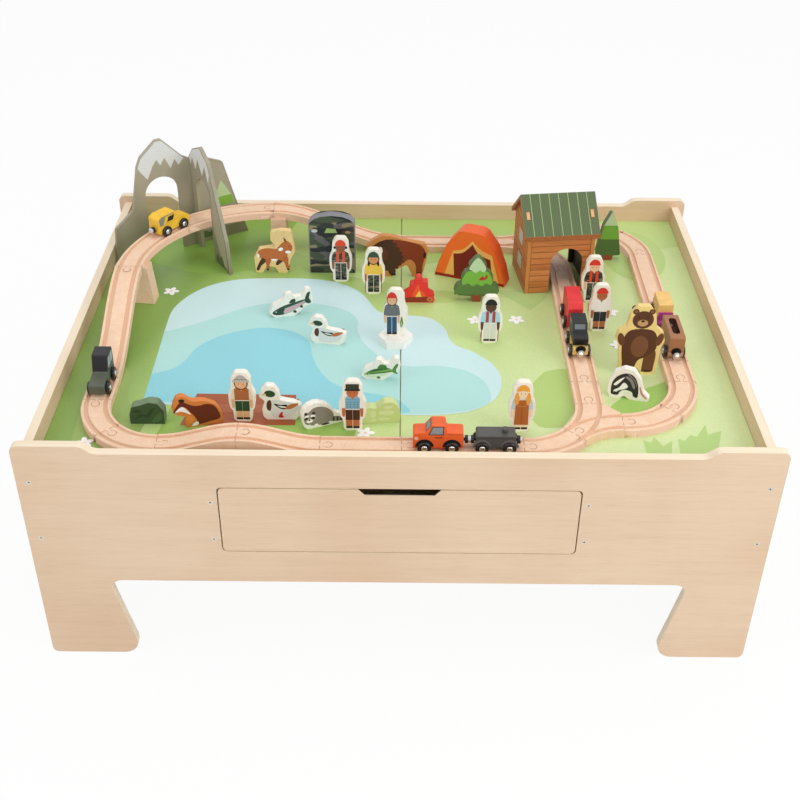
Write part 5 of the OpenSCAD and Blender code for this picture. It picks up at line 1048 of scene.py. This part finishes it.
beaver = [
    ("#6A2A1C", curve([(-32, 28.5), (-27, 37), (-20, 45), (-14, 40.5), (-5, 35), (4, 33.6), (12, 34.6), (21.5, 31.5),
                       (27.5, 22), (30, 9), (16, 5.5), (1, 3.4), (-2, 11), (-5, 18.5), (-9, 24), (-14, 32),
                       (-21, 35.5), (-28, 30)])),
    (WHITE, curve([(-29.5, 27.6), (-23, 34.4), (-17, 34), (-9, 21), (-16, 25.6), (-23, 28.4)])),
    (BLACK, oval(-19.6, 45.4, 8, 5.4, -10)),
    ("#E48E3E", oval(-10.6, 12.4, 9, 12)), (WHITE, curve([(-9, 2.2), (-6, 6.4), (-0.6, 8), (0, 3.6), (-5, 1.4)])),
    (BLACK, oval(-31, 28.6, 2.6, 2.2)),
]
raccoon = [
    ("#8E857C", [(10, 14), (20, 11.6), (28.6, 9), (29, 3), (20, 3.4), (10, 5.6)]),
    ("#33302E", [(13, 13.2), (15.6, 12.6), (15.4, 4.6), (12.8, 5)]),
    ("#33302E", [(18.4, 12), (21, 11.2), (20.8, 3.4), (18.2, 3.8)]),
    ("#33302E", [(23.6, 10.4), (26, 9.8), (26, 3.2), (23.6, 3.3)]),
    ("#8E857C", curve([(-27, 24), (-20, 28.5), (-14, 33), (-4.5, 33.6), (6, 28.6), (13, 19.6), (14, 12), (8.6, 6),
                       (0, 3.4), (-11, 4.4), (-20, 6), (-26, 10), (-28, 17)])),
    ("#A79E95", oval(-19.3, 17.6, 18, 14)), ("#33302E", oval(-25, 26, 4.6, 5)), ("#33302E", oval(-14, 25, 4.6, 5)),
    (WHITE, oval(-24, 21.6, 7, 4, 15)),
    (WHITE, oval(-15.2, 20.8, 7, 4, -15)), ("#2F2A28", oval(-24.6, 18, 6, 4.4, 20)),
    ("#2F2A28", oval(-15, 17.4, 6, 4.4, -20)), (WHITE, oval(-20, 13.4, 9, 6.2)),
    (BLACK, oval(-20.4, 15, 3, 2.4)), (WHITE, oval(-21.4, 5.4, 6, 4.6)), (WHITE, oval(-10.8, 4.8, 6, 4.4)),
    ("#2F2A28", oval(2.4, 3.2, 12, 3.2)),
]


def duck(rise, foot):
    """A swimming or standing duck, its heights taken by a share."""
    shapes = [("#E3E3DE", curve([(-15, 30), (-4, 33), (10, 30), (23.5, 25), (19, 10), (8, 4), (-10, 4), (-14, 14)])),
              ("#5B3122", curve([(-17, 31), (-13, 32), (-12, 24), (-14, 15), (-18, 17), (-19, 24)])),
              ("#2F4B2D", oval(-13.6, 43, 15, 11, -8)), ("#E2C98A", curve([(-26, 41.4), (-20, 43.6), (-19, 39.6)])),
              (WHITE, slab(-17, 33.8, -10.4, 35.6)), (BLACK, oval(-16.6, 44.4, 1.6, 1.6, count=10)),
              ("#1F1E20", curve([(-9, 27), (0, 25), (9, 25), (7, 18), (0, 18.6), (-5, 22)])),
              ("#C4733C", curve([(6, 20), (14, 26), (25, 28), (20, 22), (12, 17.6)])),
              (WHITE, curve([(-4, 23.4), (4, 22.6), (8, 20.6), (2, 20.4)]))]
    if foot:
        shapes.append(("#C9302C", curve([(-3, 4), (-1, 11), (3, 13), (2, 8), (4, 4)])))
    return resized(shapes, 1.0, rise)


trout = [
    ("#B9C0BA", curve([(-29, 9), (-14, 17), (4, 21), (20, 26), (23, 22), (8, 12), (-6, 5), (-22, 4)])),
    ("#3A5344", curve([(-29, 10), (-13, 19), (4, 23.6), (20, 27.6), (20, 25), (4, 19), (-12, 14)])),
    ("#2E4A3B", curve([(-30, 8), (-22, 14), (-12, 17), (-11, 10), (-13, 4.4), (-24, 4)])),
    ("#E8A2B0", curve([(-11, 11), (4, 17), (18, 22.6), (18, 20.6), (4, 13.6), (-11, 7.6)])),
    ("#2E4A3B", curve([(-3, 23), (0, 29), (6, 30), (6, 24.6)])),
    ("#2E4A3B", curve([(21, 25), (25, 38), (30, 40), (28, 30), (31, 22), (26, 20)])),
    ("#2E4A3B", curve([(2, 8), (5, 5), (8, 6), (6, 10)])),
    ("#2E4A3B", curve([(13, 15), (17, 13), (18, 16), (16, 18)])), (WHITE, oval(-24, 9.6, 1.8, 1.8, count=10)),
]
perch = [
    ("#DCE8C6", curve([(-24, 8), (-12, 15), (4, 18.6), (17, 19), (17, 15.6), (4, 8), (-10, 4), (-20, 4.6)])),
    ("#7CAC4C", curve([(-24, 8.6), (-12, 16), (4, 20), (17, 20), (17, 17), (4, 13.6), (-12, 9.6)])),
    ("#3B672C", curve([(-20, 12), (-10, 18), (4, 21.6), (14, 21.4), (4, 18), (-10, 14)])),
    ("#2F4A26", curve([(-14, 11.4), (2, 14), (17, 17.4), (17, 16.4), (2, 12.4), (-14, 9.8)])),
    ("#4F7E38", curve([(-4, 20), (0, 27), (8, 26), (8, 21)])),
    ("#5C8C42", curve([(17, 20), (23, 30), (25.6, 28), (22, 19), (25, 13), (18, 15)])),
    ("#5C8C42", curve([(-6, 5), (-3, 2.4), (0, 4), (-2, 7)])), (BLACK, oval(-18.6, 9, 1.8, 1.8, count=10)),
]
animals = [
    (DEER_AT, 0, resized(deer, 1.03, 1.08)), (BISON_AT, 0, bison), (BEAR_AT, 0, bear), ((321.8, -191.0), -15, badger),
    (BEAVER_AT, 16, beaver), ((-105.71, -260.81), 22, raccoon),
    ((-163.2, -246.9), 0, duck(1.0, True)), ((-109.8, -54.0), -8, duck(0.82, False)), ((-171.0, 25.9), 12, trout),
    ((-28.2, -149.1), -6, perch),
]
animal_faces = [face for at, turn, shapes in animals for face in standing(at, turn, FIGURE, shapes)]
printed("animal_print", "root", animal_faces)


# Floor, light and camera: a pale floor that runs out to white, soft lamps above and in front, and the
# camera at the photograph's angle.
FLOOR_GLOW = 0.94


def seen_rays(tree):
    """One for rays that come straight, mirrored or through a clear piece from the camera, and nought for others."""
    rays = add(tree, "LightPath").node.outputs
    seen = add(tree, "Math", {0: rays["Is Camera Ray"], 1: rays["Is Glossy Ray"]}, operation="MAXIMUM")
    return add(tree, "Math", {0: seen, 1: rays["Is Transmission Ray"]}, operation="MAXIMUM")


ground = bpy.data.meshes.new("floor")
ground.from_pydata([(-6, -4, 0), (6, -4, 0), (6, 8, 0), (-6, 8, 0)], [], [(0, 1, 2, 3)])
floor = bpy.data.objects.new("floor", ground)
bpy.context.scene.collection.objects.link(floor)
paper, tree = material("matt white paper", 0.9)
surface = tree.nodes["Principled BSDF"]
surface.inputs["Base Color"].default_value = linear("#F6F6F6")
part = add(tree, "Math", {0: seen_rays(tree), 1: FLOOR_GLOW}, operation="MULTIPLY")
glow = add(tree, "Emission", {"Color": (1, 1, 1, 1), "Strength": 1.0})
both = add(tree, "MixShader", {"Fac": part, 1: surface.outputs["BSDF"], 2: glow})
tree.links.new(both, tree.nodes["Material Output"].inputs["Surface"])
ground.materials.append(paper)
floor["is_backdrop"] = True

world = bpy.data.worlds.new("studio")
bpy.context.scene.world = world
world.use_nodes = True
sky = world.node_tree
level = add(sky, "MapRange", {"Value": seen_rays(sky), "To Min": 0.5, "To Max": 1.0})
sky.nodes["Background"].inputs["Color"].default_value = (1, 1, 1, 1)
sky.links.new(level, sky.nodes["Background"].inputs["Strength"])

lamps_aim = Vector((0, 0, 0.3))
for name, spot, size, power in (
    ("right", (2.0, -1.2, 1.7), 1.8, 26), ("left", (-2.0, -1.2, 1.7), 1.8, 11), ("front", (0.4, -2.9, 1.6), 1.6, 15),
    ("top", (0.1, 0.4, 2.8), 2.2, 20)
):
    lamp = bpy.data.lights.new(name, "AREA")
    lamp.shape = "DISK"
    lamp.size = size
    lamp.energy = power
    holder = bpy.data.objects.new(name, lamp)
    bpy.context.scene.collection.objects.link(holder)
    holder.location = spot
    holder.rotation_euler = (lamps_aim - Vector(spot)).to_track_quat("-Z", "Y").to_euler()

eye = bpy.data.cameras.new("camera")
eye.sensor_width = 36
eye.lens = 54.29
camera = bpy.data.objects.new("camera", eye)
bpy.context.scene.collection.objects.link(camera)
bpy.context.scene.camera = camera
camera_at = (-0.0017, -1.5862, 1.3156)
pitch, yaw, roll = math.radians(35.32), math.radians(0.05), math.radians(0.56)
ahead = Vector((math.sin(yaw) * math.cos(pitch), math.cos(yaw) * math.cos(pitch), -math.sin(pitch)))
right = ahead.cross(AXIS_Z).normalized()
above = right.cross(ahead)
right, above = (right * math.cos(roll) + above * math.sin(roll), above * math.cos(roll) - right * math.sin(roll))
camera.matrix_world = Matrix.Translation(camera_at) @ Matrix(
    (right, above, -ahead)).transposed().to_4x4()
bpy.context.scene.view_settings.view_transform = "Standard"

low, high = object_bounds()
